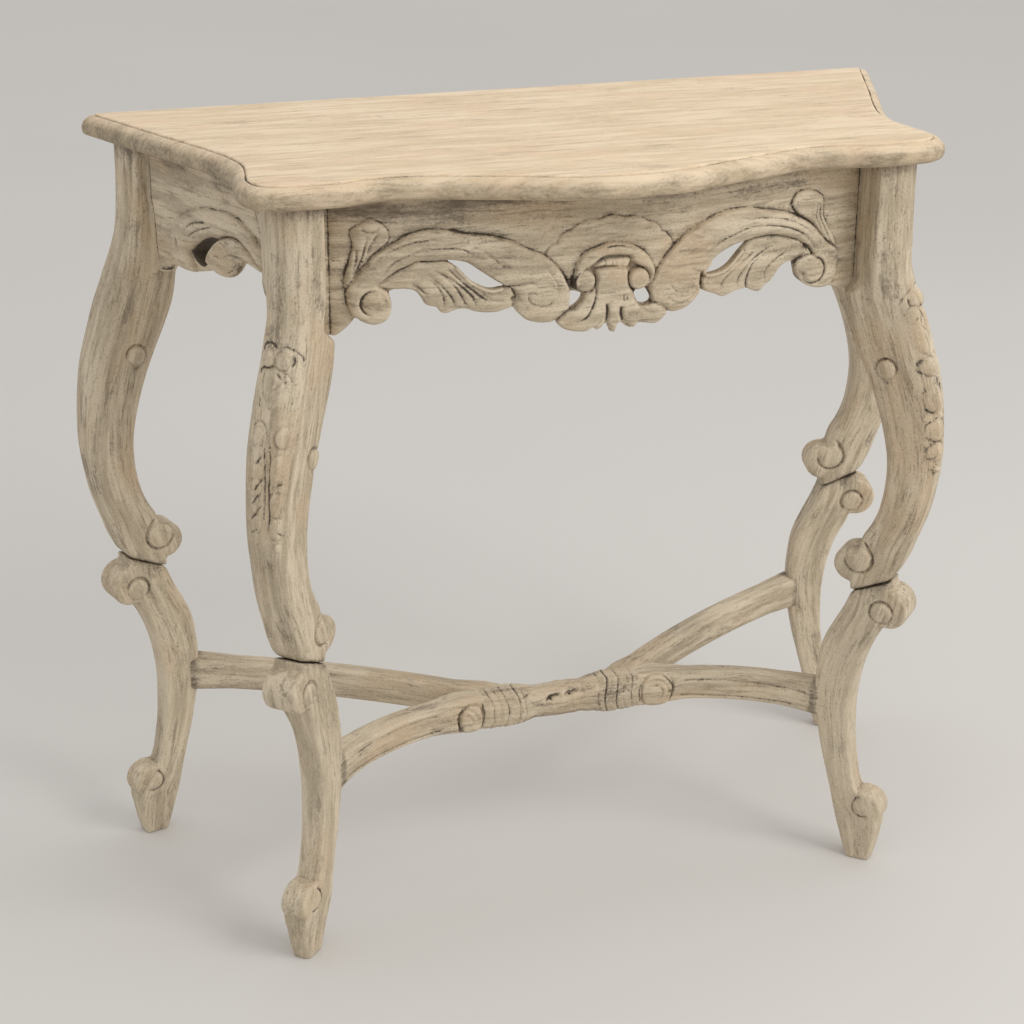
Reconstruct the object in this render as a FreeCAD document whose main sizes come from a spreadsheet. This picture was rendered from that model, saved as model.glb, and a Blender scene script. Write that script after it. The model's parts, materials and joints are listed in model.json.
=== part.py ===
import FreeCAD, Part
import math
import os

import Sketcher

# Carved pier table: a serpentine top on four two-part scroll legs, joined by pierced aprons,
# glue blocks and an H-shaped stretcher.
# Frame: origin on the floor under the middle of the top, +X to the right, +Y towards the wall, +Z up.

Vector = FreeCAD.Vector
Rotation = FreeCAD.Rotation
Placement = FreeCAD.Placement
UP = Vector(0, 0, 1)
ACROSS = Vector(0, 1, 0)

# Driving dimensions in millimetres and degrees.
SIZES = (
    ("lower_leg_length", 328, "floor to the middle of the waist joint"),
    ("upper_leg_length", 450, "middle of the waist joint to the underside of the top"),
    ("top_thickness", 22, "thickness of the glued-up top"),
    ("top_depth", 412, "front bulge to back edge"),
    ("top_back_width", 880, "across the back corners"),
    ("top_waist_width", 686, "across the hollow of the sides"),
    ("top_waist_setback", 152, "front bulge back to the hollow of the sides"),
    ("top_side_bend", 59, "hollow of the sides back to the end of their straight part"),
    ("top_run_width", 714, "across the sides at the end of their straight part"),
    ("top_front_width", 703, "across the front corners"),
    ("top_corner_run", 46, "length of each rounded front corner along the side"),
    ("top_corner_reach", 76, "length of each rounded front corner along the front"),
    ("top_corner_setback", 45, "front bulge back to the straight part beside each corner"),
    ("hollow_spread", 422, "between the two hollows of the front edge"),
    ("hollow_setback", 56, "front bulge back to the hollows"),
    ("top_edge_round", 12, "upper rounding of the moulded edge"),
    ("top_edge_under", 7, "lower rounding of the moulded edge"),
    ("front_board_width", 150, "front board of the top, from the bulge to its glue joint"),
    ("back_board_width", 132, "back board of the top, from the back edge to its glue joint"),
    ("front_leg_overhang", 54.5, "front corner of the top in to the axis of the front leg"),
    ("front_leg_setback", 88, "front bulge back to the axes of the front legs"),
    ("front_leg_turn", 45, "turn of the front legs' plane from the front, to the side"),
    ("back_leg_overhang", 45, "back corner of the top in to the axis of the back leg"),
    ("back_leg_inset", 36, "back edge to the axes of the back legs"),
    ("back_leg_turn", 105, "turn of the back legs' plane from the back, to the side"),
    ("front_post_width", 50, "front post along the front apron"),
    ("front_post_depth", 68, "front post from front to back"),
    ("front_post_cheek", 25, "leg axis to the front face of the front post"),
    ("front_post_round", 18, "rounding of the front post's outer corner"),
    ("back_post_width", 46, "back post along the side apron"),
    ("back_post_depth", 56, "back post square to the side apron"),
    ("back_post_cheek", 16, "leg axis to the outer face of the back post"),
    ("back_post_round", 12, "rounding of the back post's outer corners"),
    ("post_height", 136, "height of the square posts that take the aprons"),
    ("leg_roundness", 0.34, "corner radius of the leg's sections as a share of their width"),
    ("waist_tilt", 22, "slope of the waist joint, rising outwards"),
    ("inner_scroll_reach", -5, "leg axis to the centre of the scroll above the waist"),
    ("inner_scroll_rise", 21, "waist joint up to the centre of that scroll"),
    ("inner_scroll_radius", 20, "radius of that scroll"),
    ("inner_scroll_width", 40, "width of that scroll"),
    ("outer_scroll_reach", 37, "leg axis to the centre of the scroll below the waist"),
    ("outer_scroll_drop", 22, "waist joint down to the centre of that scroll"),
    ("outer_scroll_radius", 22, "radius of that scroll"),
    ("outer_scroll_width", 40, "width of that scroll"),
    ("foot_scroll_reach", 26, "leg axis to the centre of the foot's scroll"),
    ("foot_scroll_height", 64, "floor to the centre of the foot's scroll"),
    ("foot_scroll_radius", 21, "radius of the foot's scroll"),
    ("foot_scroll_width", 30, "width of the foot's scroll"),
    ("scroll_rim", 5, "rounding of the scrolls' rims"),
    ("apron_thickness", 20, "thickness of the front and side aprons"),
    ("front_apron_height", 143, "front apron from the top to the tip of its palmette"),
    ("front_apron_recess", 39, "front face of the front post back to the apron's face"),
    ("front_apron_bow", 39, "bow of the front apron's face"),
    ("side_apron_height", 124, "side apron from the top to its lowest point"),
    ("side_apron_inset", 11, "outer face of the front post in to the side apron's face"),
    ("side_apron_recess", 17, "outer face of the back post in to the side apron's face"),
    ("back_apron_height", 98, "height of the plain back apron"),
    ("back_apron_thickness", 22, "thickness of the back apron"),
    ("back_apron_inset", 16, "back edge of the top to the back apron's face"),
    ("tenon_length", 14, "length of the apron tenons"),
    ("tenon_thickness", 10, "thickness of the apron tenons"),
    ("tenon_height", 56, "height of the apron tenons"),
    ("tenon_shoulder", 18, "top of the posts down to the tenons"),
    ("tenon_face", 3, "outer face of the aprons in to the tenons"),
    ("glue_gap", 0.1, "clearance of tenons and dowels in their holes"),
    ("stretcher_height", 183, "floor to the middle of the stretcher"),
    ("stretcher_setback", 195, "front bulge back to the stretcher's centre bar"),
    ("arm_depth", 36, "height of the stretcher arms"),
    ("arm_width", 26, "width of the stretcher arms"),
    ("arm_round", 8, "rounding of the arms' edges"),
    ("front_arm_seat", 31, "leg axis in to the end of a front arm"),
    ("back_arm_seat", 31, "leg axis in to the end of a back arm"),
    ("back_arm_start", 81.4, "middle of the centre bar out to where the back arms leave its back face"),
    ("back_arm_bow", 13, "bow of the back arms"),
    ("hub_length", 176, "length of the centre bar"),
    ("hub_depth", 38, "height of the centre bar"),
    ("hub_width", 34, "width of the centre bar"),
    ("ring_proud", 3, "height of the rings above the centre bar"),
    ("ring_length", 12, "length of each ring"),
    ("ring_spread", 150, "between the outer rings"),
    ("ring_pitch", 34, "outer ring to inner ring"),
    ("dowel_radius", 5, "radius of the dowels"),
    ("dowel_length", 32, "length of the dowels"),
    ("dowel_end_gap", 1, "room left for glue at each end of a dowel"),
    ("dowel_stagger", 9, "height of the centre bar's dowels off its middle"),
    ("dowel_wall", 1.5, "least wood between a dowel and the end of the centre bar"),
    ("block_height", 52, "height of the corner blocks"),
    ("block_reach", 66, "length of the corner blocks along the aprons"),
    ("screw_radius", 2.2, "radius of the screws' shanks"),
    ("screw_head_radius", 4.4, "radius of the screws' heads"),
    ("screw_head_length", 3, "length of the screws' countersunk heads"),
    ("top_screw_bite", 14, "length of a top screw inside the top"),
    ("top_screw_aside", 14, "middle of a block's slanted face along to its top screw"),
    ("top_screw_inset", 8, "slanted face of a block in to its top screw"),
    ("leg_screw_length", 55, "length of the screws from blocks into posts"),
)

# Stations of the leg: share of the piece's length above its lower end, outward reach from the leg axis,
# depth in the leg's plane and width square to it. The two halves share the waist.
UPPER_STATIONS = (
    ("root", 0.93, -4, 36, 40),
    ("collar", 0.81, -2, 50, 44),
    ("shoulder", 0.693, 3, 70, 48),
    ("haunch", 0.582, 20, 73, 51),
    ("thigh", 0.471, 36, 65, 52),
    ("knee", 0.327, 49, 52, 50),
    ("calf", 0.194, 43, 48, 46),
    ("hock", 0.093, 33, 47, 41),
    ("waist", 0, 17.5, 44, 37),
)
LOWER_STATIONS = (
    UPPER_STATIONS[-1],
    ("neck", 0.841, 3.5, 54, 31),
    ("bend", 0.716, -11, 46, 30),
    ("ankle", 0.579, -16.5, 40, 29),
    ("shin", 0.412, -11, 34, 28),
    ("heel", 0.259, 0, 31, 28),
    ("sole", 0, 21, 24, 20),
)
STATION_COLUMNS = ("share", "reach", "depth", "width")

# Lower edge of the front apron from the middle to the post: shares of half its length and of its height.
# Each row is one smooth run between two notches.
FRONT_EDGE_RUNS = (
    ((0.0, 1.0), (0.08, 0.982), (0.173, 0.962), (0.21, 0.885)),
    ((0.21, 0.885), (0.265, 0.892), (0.324, 0.832), (0.352, 0.776)),
    ((0.352, 0.776), (0.434, 0.826), (0.581, 0.819), (0.654, 0.721), (0.735, 0.634), (0.76, 0.67)),
    ((0.76, 0.67), (0.772, 0.803), (0.831, 0.868), (0.892, 0.822)),
    ((0.892, 0.822), (0.94, 0.913), (1.0, 0.938)),
)
# Each hole is two runs between its two tips.
LEAF_HOLE = (
    ((0.551, 0.434), (0.456, 0.49), (0.36, 0.615)),
    ((0.36, 0.615), (0.434, 0.685), (0.5, 0.601), (0.551, 0.434)),
)
SHELL_HOLE = (
    ((0.092, 0.72), (0.14, 0.72), (0.162, 0.83)),
    ((0.162, 0.83), (0.118, 0.865), (0.092, 0.72)),
)

# Lower edge of a side apron from the front post to the back post, in the same shares of length and height.
SIDE_EDGE_RUNS = (
    ((0.0, 0.66), (0.1, 0.615), (0.19, 0.58)),
    ((0.19, 0.58), (0.24, 0.706), (0.368, 0.81), (0.44, 0.8)),
    ((0.44, 0.8), (0.52, 0.86), (0.63, 0.875), (0.754, 0.879)),
    ((0.754, 0.879), (0.87, 0.94), (1.0, 1.0)),
)
SIDE_HOLE = (
    ((0.42, 0.55), (0.53, 0.6), (0.585, 0.775)),
    ((0.585, 0.775), (0.47, 0.69), (0.42, 0.55)),
)

# Middle of a rounded corner of the top, in shares of its reach along the front and its run along the side.
CORNER_SWEEP = 0.333
CORNER_RISE = 0.07
# Part of the front bulge that has swelled halfway between a hollow and the middle.
BULGE_SHARE = 0.55
# Lengths below this count as none.
TOUCH = 1e-3

doc = FreeCAD.newDocument("PierTable")


def fill_sheet(name, rows):
    """A sheet with one aliased number per row."""
    sheet = doc.addObject("Spreadsheet::Sheet", name)
    for row, (alias, value, meaning) in enumerate(rows, start=1):
        sheet.set(f"A{row}", meaning)
        sheet.set(f"B{row}", str(value))
        sheet.setAlias(f"B{row}", alias)
    return sheet


def station_rows():
    """The leg stations as aliased numbers; the waist and the sole need no share."""
    rows = []
    for name, *values in UPPER_STATIONS + LOWER_STATIONS[1:]:
        for column, value in zip(STATION_COLUMNS, values):
            if column != "share" or name not in ("waist", "sole"):
                rows.append((f"{name}_{column}", value, f"{name} {column}"))
    return rows


sheet = fill_sheet("Sizes", SIZES)
stations = fill_sheet("Stations", station_rows())
doc.recompute()


def size(alias):
    return float(sheet.get(alias))


def station(name, column):
    return float(stations.get(f"{name}_{column}"))


LEG_TOP = "Sizes.lower_leg_length + Sizes.upper_leg_length"
leg_top = size("lower_leg_length") + size("upper_leg_length")
front_y = -size("top_depth") / 2
back_y = size("top_depth") / 2


def bind(piece, **expressions):
    """Tie properties of a piece to the sheet; a double underscore stands for a point in the path."""
    for path, expression in expressions.items():
        piece.setExpression(path.replace("__", "."), expression)


def new_body(name):
    return doc.addObject("PartDesign::Body", name)


def new_sketch(body, name, role, offset=None):
    """A sketch on one of the body's own origin planes."""
    sketch = body.newObject("Sketcher::SketchObject", name)
    plane = next(feature for feature in body.Origin.OriginFeatures if feature.Role == role)
    sketch.AttachmentSupport = [(plane, "")]
    sketch.MapMode = "FlatFace"
    if offset is not None:
        sketch.AttachmentOffset = offset
    return sketch


def smooth(points):
    """One curve through the points."""
    curve = Part.BSplineCurve()
    curve.interpolate([Vector(x, y, 0) for x, y in points])
    return curve


def lines(points):
    """Straight edges from point to point."""
    corners = [Vector(x, y, 0) for x, y in points]
    return [Part.LineSegment(a, b) for a, b in zip(corners, corners[1:])]


def pad(body, sketch, length, both_ways=False):
    feature = body.newObject("PartDesign::Pad", sketch.Name + "_pad")
    feature.Profile = sketch
    if both_ways:
        feature.SideType = "Symmetric"
    bind(feature, Length=length)
    sketch.Visibility = False
    return feature


def pocket_through(body, sketch):
    """Cut the sketch right through the body, both ways."""
    before = body.Shape.Volume
    feature = body.newObject("PartDesign::Pocket", sketch.Name + "_cut")
    feature.Profile = sketch
    feature.SideType = "Symmetric"
    feature.Type = "ThroughAll"
    doc.recompute()
    if body.Shape.Volume >= before:
        raise RuntimeError(f"{sketch.Name} cuts nothing")
    return feature


def round_edges(body, base, chosen, radius):
    """Fillet the edges of a feature that pass the test."""
    doc.recompute()
    names = [f"Edge{n}" for n, edge in enumerate(base.Shape.Edges, start=1) if chosen(edge)]
    feature = body.newObject("PartDesign::Fillet", base.Name + "_round")
    feature.Base = (base, names)
    bind(feature, Radius=radius)
    return feature


FUSE = "Part::MultiFuse"
COMMON = "Part::MultiCommon"


def boolean(kind, name, pieces):
    """A fuse or common of several pieces."""
    result = doc.addObject(kind, name)
    result.Shapes = pieces
    return result


def bundle(name, pieces):
    group = doc.addObject("Part::Compound", name)
    group.Links = pieces
    return group


def cut(name, base, tools):
    result = doc.addObject("Part::Cut", name)
    result.Base = base
    result.Tool = tools[0] if len(tools) == 1 else bundle(name + "_tools", tools)
    return result


def mirror(name, source):
    """The left-hand twin of a right-hand piece."""
    twin = doc.addObject("Part::Mirroring", name)
    twin.Source = source
    twin.Normal = Vector(1, 0, 0)
    return twin


def box(name, placement, **sizes):
    block = doc.addObject("Part::Box", name)
    block.Placement = placement
    bind(block, **sizes)
    return block


def rod(name, middle, direction, radius, length):
    """A round bar centred on a point."""
    bar = doc.addObject("Part::Cylinder", name)
    bind(bar, Radius=radius, Height=length)
    doc.recompute()
    turn = Rotation(UP, direction)
    bar.Placement = Placement(middle - turn.multVec(UP) * (float(bar.Height) / 2), turn)
    return bar


def dowel_pair(name, middle, direction):
    """A dowel and the hole bored for it, half in each of the two pieces that it joins."""
    dowel = rod(name, middle, direction, "Sizes.dowel_radius", "Sizes.dowel_length")
    hole = rod(
        name + "_hole",
        middle,
        direction,
        "Sizes.dowel_radius + Sizes.glue_gap",
        "Sizes.dowel_length + 2 * Sizes.dowel_end_gap",
    )
    return dowel, hole


# The top: one serpentine outline with a moulded edge, ripped into three boards.


def top_outline():
    """Right half of the moulded edge, from the back corner round to the middle of the front."""
    half_back = size("top_back_width") / 2
    half_waist = size("top_waist_width") / 2
    half_front = size("top_front_width") / 2
    waist_y = front_y + size("top_waist_setback")
    run_y = waist_y + size("top_side_bend")
    half_run = size("top_run_width") / 2
    straight_y = front_y + size("top_corner_setback")
    corner = size("top_corner_run")
    reach = size("top_corner_reach")
    hollow_x = size("hollow_spread") / 2
    hollow_y = front_y + size("hollow_setback")
    return [
        (half_back, back_y),
        (half_run, run_y),
        (half_waist, waist_y),
        (half_front, straight_y + corner),
        (half_front - reach * CORNER_SWEEP, straight_y + corner * CORNER_RISE),
        (half_front - reach, straight_y),
        (hollow_x, hollow_y),
        (hollow_x / 2, hollow_y + (front_y - hollow_y) * BULGE_SHARE),
        (0, front_y),
    ]


def make_top():
    body = new_body("top_blank")
    sketch = new_sketch(body, "top_plan", "XY_Plane")
    bind(sketch, AttachmentOffset__Base__z=LEG_TOP)
    right = top_outline()
    left = [(-x, y) for x, y in reversed(right[:-1])]
    sketch.addGeometry(smooth(right + left), False)
    sketch.addGeometry(lines([left[-1], right[0]])[0], False)
    slab = pad(body, sketch, "Sizes.top_thickness")

    def on_moulding(edge, level):
        low = abs(edge.BoundBox.ZMin - level)
        high = abs(edge.BoundBox.ZMax - level)
        return max(low, high) < TOUCH < edge.BoundBox.YLength

    upper = leg_top + size("top_thickness")
    rounded = round_edges(body, slab, lambda edge: on_moulding(edge, upper), "Sizes.top_edge_round")
    round_edges(body, rounded, lambda edge: on_moulding(edge, leg_top), "Sizes.top_edge_under")

    reach = size("top_back_width")
    cuts = (
        ("top_board_front", "-Sizes.top_depth", "Sizes.top_depth / 2 + Sizes.front_board_width"),
        (
            "top_board_middle",
            "-Sizes.top_depth / 2 + Sizes.front_board_width",
            "Sizes.top_depth - Sizes.front_board_width - Sizes.back_board_width",
        ),
        ("top_board_back", "Sizes.top_depth / 2 - Sizes.back_board_width", "Sizes.top_depth"),
    )
    boards = []
    for name, start, width in cuts:
        slot = box(
            name + "_slot",
            Placement(Vector(-reach, 0, 0), Rotation()),
            Length="2 * Sizes.top_back_width",
            Width=width,
            Height="2 * Sizes.top_thickness",
            Placement__Base__y=start,
            Placement__Base__z=LEG_TOP,
        )
        boards.append(boolean(COMMON, name, [body, slot]))
    return boards


# The legs: rounded sections lofted along an S curve, with scrolls above and below the waist and at the foot.


def rounded_section(body, name, place, row):
    """A rounded rectangle, deep along the leg's plane, with its sizes tied to a row of the stations."""
    sketch = new_sketch(body, name, "XY_Plane", place)
    x = station(row, "depth") / 2
    y = station(row, "width") / 2
    r = station(row, "width") * size("leg_roundness")
    quarter = math.pi / 2
    centres = ((x - r, y - r), (r - x, y - r), (r - x, r - y), (x - r, r - y))
    for turn, (cx, cy) in enumerate(centres):
        circle = Part.Circle(Vector(cx, cy, 0), UP, r)
        sketch.addGeometry(Part.ArcOfCircle(circle, turn * quarter, (turn + 1) * quarter), False)
    sides = (
        ((x - r, y), (r - x, y)),
        ((-x, y - r), (-x, r - y)),
        ((r - x, -y), (x - r, -y)),
        ((x, r - y), (x, y - r)),
    )
    for side in sides:
        sketch.addGeometry(lines(side)[0], False)
    for turn in range(4):
        sketch.addConstraint(Sketcher.Constraint("Tangent", turn, 2, 4 + turn, 1))
        sketch.addConstraint(Sketcher.Constraint("Tangent", 4 + turn, 2, (turn + 1) % 4, 1))
    sketch.addConstraint(Sketcher.Constraint("Horizontal", 4))
    sketch.addConstraint(Sketcher.Constraint("Vertical", 5))
    sketch.addConstraint(Sketcher.Constraint("Horizontal", 6))
    sketch.addConstraint(Sketcher.Constraint("Vertical", 7))
    for turn in range(1, 4):
        sketch.addConstraint(Sketcher.Constraint("Equal", 0, turn))
    sketch.addConstraint(Sketcher.Constraint("Symmetric", 4, 1, 6, 1, -1, 1))
    named = (
        (Sketcher.Constraint("Distance", 5, 1, 7, 2 * x), "depth", f"Stations.{row}_depth"),
        (Sketcher.Constraint("Distance", 4, 1, 6, 2 * y), "width", f"Stations.{row}_width"),
        (Sketcher.Constraint("Radius", 0, r), "corner", f"Stations.{row}_width * Sizes.leg_roundness"),
    )
    for constraint, label, expression in named:
        sketch.renameConstraint(sketch.addConstraint(constraint), label)
        sketch.setExpression(f"Constraints.{label}", expression)
    return sketch


def station_heights(rows, foot, length):
    fixed = {"waist": size("lower_leg_length"), "sole": 0}
    heights = []
    for name, *_ in rows:
        heights.append(fixed[name] if name in fixed else foot + length * station(name, "share"))
    return heights


def station_tilts(rows, heights):
    """Each section stands square to the curve; the waist takes its own slope, the ends stay level."""
    reaches = [station(row[0], "reach") for row in rows]
    tilts = []
    for index, row in enumerate(rows):
        if row[0] == "waist":
            tilts.append(size("waist_tilt"))
        elif index in (0, len(rows) - 1):
            tilts.append(0.0)
        else:
            run = reaches[index - 1] - reaches[index + 1]
            rise = heights[index - 1] - heights[index + 1]
            tilts.append(math.degrees(math.atan2(-run, rise)))
    return tilts


def add_scroll(body, name, height, prefix):
    """A round scroll with softened rims, its axis square to the leg's plane."""
    reach = size(prefix + "_reach")
    radius = size(prefix + "_radius")
    half = size(prefix + "_width") / 2
    rim = size("scroll_rim")
    sketch = new_sketch(body, name, "XY_Plane", Placement(Vector(reach, 0, height), Rotation()))
    for edge in lines([(radius - rim, half), (0, half), (0, -half), (radius - rim, -half)]):
        sketch.addGeometry(edge, False)
    sketch.addGeometry(lines([(radius, rim - half), (radius, half - rim)])[0], False)
    for side, start in ((1, 0), (-1, -math.pi / 2)):
        circle = Part.Circle(Vector(radius - rim, side * (half - rim), 0), UP, rim)
        sketch.addGeometry(Part.ArcOfCircle(circle, start, start + math.pi / 2), False)
    turned = body.newObject("PartDesign::Revolution", name + "_turned")
    turned.Profile = sketch
    turned.ReferenceAxis = (sketch, ["V_Axis"])
    turned.Angle = 360
    sketch.Visibility = False
    return turned


def make_limb(name, rows, foot, length, axis_place, scrolls):
    """One half of a leg in its own plane, set on its axis."""
    body = new_body(name)
    heights = station_heights(rows, foot, length)
    sections = []
    for row, height, tilt in zip(rows, heights, station_tilts(rows, heights)):
        place = Placement(Vector(station(row[0], "reach"), 0, height), Rotation(ACROSS, -tilt))
        sections.append(rounded_section(body, f"{name}_{row[0]}", place, row[0]))
    loft = body.newObject("PartDesign::AdditiveLoft", name + "_loft")
    loft.Profile = sections[0]
    loft.Sections = sections[1:]
    for sketch in sections:
        sketch.Visibility = False
    for scroll, height in scrolls:
        add_scroll(body, f"{name}_{scroll}", height, scroll)
    body.Placement = axis_place
    return body


def waist_frame(axis_place):
    """Middle of the waist joint and the direction square to it."""
    tilt = math.radians(size("waist_tilt"))
    middle = Vector(station("waist", "reach"), 0, size("lower_leg_length"))
    normal = Vector(-math.sin(tilt), 0, math.cos(tilt))
    return axis_place.multVec(middle), axis_place.Rotation.multVec(normal)


def below_waist(name, axis_place):
    """A block that fills everything below the waist joint."""
    reach = size("lower_leg_length")
    middle, normal = waist_frame(axis_place)
    turn = Rotation(UP, normal)
    corner = middle - turn.multVec(Vector(reach, reach, 2 * reach))
    side = "2 * Sizes.lower_leg_length"
    return box(name, Placement(corner, turn), Length=side, Width=side, Height=side)


# Leg axes on the right-hand side.
FRONT = "front"
BACK = "back"
front_angle = size("front_leg_turn") - 90
back_angle = 90 - size("back_leg_turn")
front_x = size("top_front_width") / 2 - size("front_leg_overhang")
back_x = size("top_back_width") / 2 - size("back_leg_overhang")
front_foot = Vector(front_x, front_y + size("front_leg_setback"), 0)
back_foot = Vector(back_x, back_y - size("back_leg_inset"), 0)
axis = {
    FRONT: Placement(front_foot, Rotation(UP, front_angle)),
    BACK: Placement(back_foot, Rotation(UP, back_angle)),
}


def make_front_post():
    """Square post of a front leg, its outer corner well rounded."""
    body = new_body("front_post")
    sketch = new_sketch(body, "front_post_plan", "XY_Plane")
    bind(sketch, AttachmentOffset__Base__z=LEG_TOP + " - Sizes.post_height")
    middle = axis[FRONT].Base
    inner = middle.x - size("front_post_width") / 2
    outer = middle.x + size("front_post_width") / 2
    front = middle.y - size("front_post_cheek")
    rear = front + size("front_post_depth")
    bend = size("front_post_round")
    corners = [(outer, front + bend), (outer, rear), (inner, rear), (inner, front), (outer - bend, front)]
    for edge in lines(corners):
        sketch.addGeometry(edge, False)
    circle = Part.Circle(Vector(outer - bend, front + bend, 0), UP, bend)
    sketch.addGeometry(Part.ArcOfCircle(circle, -math.pi / 2, 0), False)
    pad(body, sketch, "Sizes.post_height")
    return body


def make_back_post():
    """Square post of a back leg, in the leg's own plane, its two outer corners rounded."""
    body = new_body("back_post")
    sketch = new_sketch(body, "back_post_plan", "XY_Plane")
    bind(sketch, AttachmentOffset__Base__z=LEG_TOP + " - Sizes.post_height")
    outer = size("back_post_cheek")
    inner = outer - size("back_post_depth")
    half = size("back_post_width") / 2
    bend = size("back_post_round")
    for edge in lines([(outer - bend, half), (inner, half), (inner, -half), (outer - bend, -half)]):
        sketch.addGeometry(edge, False)
    sketch.addGeometry(lines([(outer, bend - half), (outer, half - bend)])[0], False)
    for side, start in ((1, 0), (-1, -math.pi / 2)):
        circle = Part.Circle(Vector(outer - bend, side * (half - bend), 0), UP, bend)
        sketch.addGeometry(Part.ArcOfCircle(circle, start, start + math.pi / 2), False)
    pad(body, sketch, "Sizes.post_height")
    body.Placement = axis[BACK]
    return body


def make_upper_blank(end, post):
    waist = size("lower_leg_length")
    scrolls = [("inner_scroll", waist + size("inner_scroll_rise"))]
    limb = make_limb(f"{end}_thigh", UPPER_STATIONS, waist, size("upper_leg_length"), axis[end], scrolls)
    whole = boolean(FUSE, f"{end}_thigh_and_post", [limb, post])
    return cut(f"{end}_upper_blank", whole, [below_waist(f"{end}_below_waist", axis[end])])


def make_lower_blank(end):
    waist = size("lower_leg_length")
    scrolls = [
        ("outer_scroll", waist - size("outer_scroll_drop")),
        ("foot_scroll", size("foot_scroll_height")),
    ]
    limb = make_limb(f"{end}_shank", LOWER_STATIONS, 0, waist, axis[end], scrolls)
    keep = below_waist(f"{end}_shank_side", axis[end])
    return boolean(COMMON, f"{end}_lower_blank", [limb, keep])


# The aprons: boards with a carved lower edge, scribed to the posts and tenoned into them.


def edge_cut(sketch, runs, length, height, symmetric):
    """Outline of the waste below an apron's lower edge."""
    waste = 2 * height

    def place(run):
        return [(share * length, leg_top - drop * height) for share, drop in run]

    right = [place(run) for run in runs]
    left = [[(-x, z) for x, z in reversed(run)] for run in reversed(right)] if symmetric else []
    for run in left + right:
        sketch.addGeometry(smooth(run), False)
    start = (left + right)[0][0]
    end = right[-1][-1]
    floor = leg_top - waste
    for edge in lines([end, (end[0], floor), (start[0], floor), start]):
        sketch.addGeometry(edge, False)


def add_holes(sketch, hole, length, height, signs=(1,)):
    for sign in signs:
        for run in hole:
            points = [(sign * share * length, leg_top - drop * height) for share, drop in run]
            sketch.addGeometry(smooth(points), False)


def front_apron_line():
    """Half length of the front apron, its face at the posts and the radius of its bow."""
    half = axis[FRONT].Base.x - size("front_post_width") / 2
    face = axis[FRONT].Base.y - size("front_post_cheek") + size("front_apron_recess")
    bow = size("front_apron_bow")
    return half, face, (half * half + bow * bow) / (2 * bow)


def make_front_board():
    body = new_body("front_board")
    sketch = new_sketch(body, "front_board_plan", "XY_Plane")
    bind(sketch, AttachmentOffset__Base__z=LEG_TOP + " - Sizes.front_apron_height")
    half, face, radius = front_apron_line()
    bow = size("front_apron_bow")
    thick = size("apron_thickness")
    ends = []
    for depth in (0, thick):
        middle = Vector(0, face - bow + depth, 0)
        centre_y = face - bow + radius
        reach = math.sqrt((radius - depth) ** 2 - half**2)
        end_y = centre_y - reach
        arc = Part.Arc(Vector(-half, end_y, 0), middle, Vector(half, end_y, 0))
        sketch.addGeometry(arc, False)
        ends.append(end_y)
    for side in (-half, half):
        sketch.addGeometry(lines([(side, ends[0]), (side, ends[1])])[0], False)
    pad(body, sketch, "Sizes.front_apron_height")
    doc.recompute()
    carving = new_sketch(body, "front_board_edge", "XZ_Plane")
    edge_cut(carving, FRONT_EDGE_RUNS, half, size("front_apron_height"), True)
    for hole in (LEAF_HOLE, SHELL_HOLE):
        add_holes(carving, hole, half, size("front_apron_height"), (1, -1))
    pocket_through(body, carving)
    return body


def side_apron_line():
    """Ends of the right side apron's outer face: on the front post's back and on the back post's side."""
    middle = axis[FRONT].Base
    start = Vector(
        middle.x + size("front_post_width") / 2 - size("side_apron_inset"),
        middle.y - size("front_post_cheek") + size("front_post_depth"),
        0,
    )
    seat = Vector(size("back_post_cheek") - size("side_apron_recess"), -size("back_post_width") / 2, 0)
    return start, axis[BACK].multVec(seat)


def side_place():
    start, end = side_apron_line()
    along = end - start
    return Placement(start, Rotation(UP, math.degrees(math.atan2(along.y, along.x)))), along.Length


def make_side_board():
    place, length = side_place()
    body = new_body("side_board")
    sketch = new_sketch(body, "side_board_plan", "XY_Plane")
    bind(sketch, AttachmentOffset__Base__z=LEG_TOP + " - Sizes.side_apron_height")
    thick = size("apron_thickness")
    ends = size("tenon_length")
    plan = [(-ends, 0), (length + ends, 0), (length + ends, thick), (-ends, thick), (-ends, 0)]
    for edge in lines(plan):
        sketch.addGeometry(edge, False)
    pad(body, sketch, "Sizes.side_apron_height")
    doc.recompute()
    carving = new_sketch(body, "side_board_edge", "XZ_Plane")
    edge_cut(carving, SIDE_EDGE_RUNS, length, size("side_apron_height"), False)
    add_holes(carving, SIDE_HOLE, length, size("side_apron_height"))
    pocket_through(body, carving)
    body.Placement = place
    return body


def back_apron_half():
    """Half length of the back apron, to just inside the back posts."""
    inner = Vector(size("back_post_cheek") - size("back_post_depth"), 0, 0)
    return axis[BACK].multVec(inner).x + size("tenon_length") / 2


def make_back_board():
    half = back_apron_half()
    return box(
        "back_board",
        Placement(Vector(-half, back_y, 0), Rotation()),
        Length=f"{2 * half}",
        Width="Sizes.back_apron_thickness",
        Height="Sizes.back_apron_height",
        Placement__Base__y="Sizes.top_depth / 2 - Sizes.back_apron_inset - Sizes.back_apron_thickness",
        Placement__Base__z=LEG_TOP + " - Sizes.back_apron_height",
    )


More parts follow.
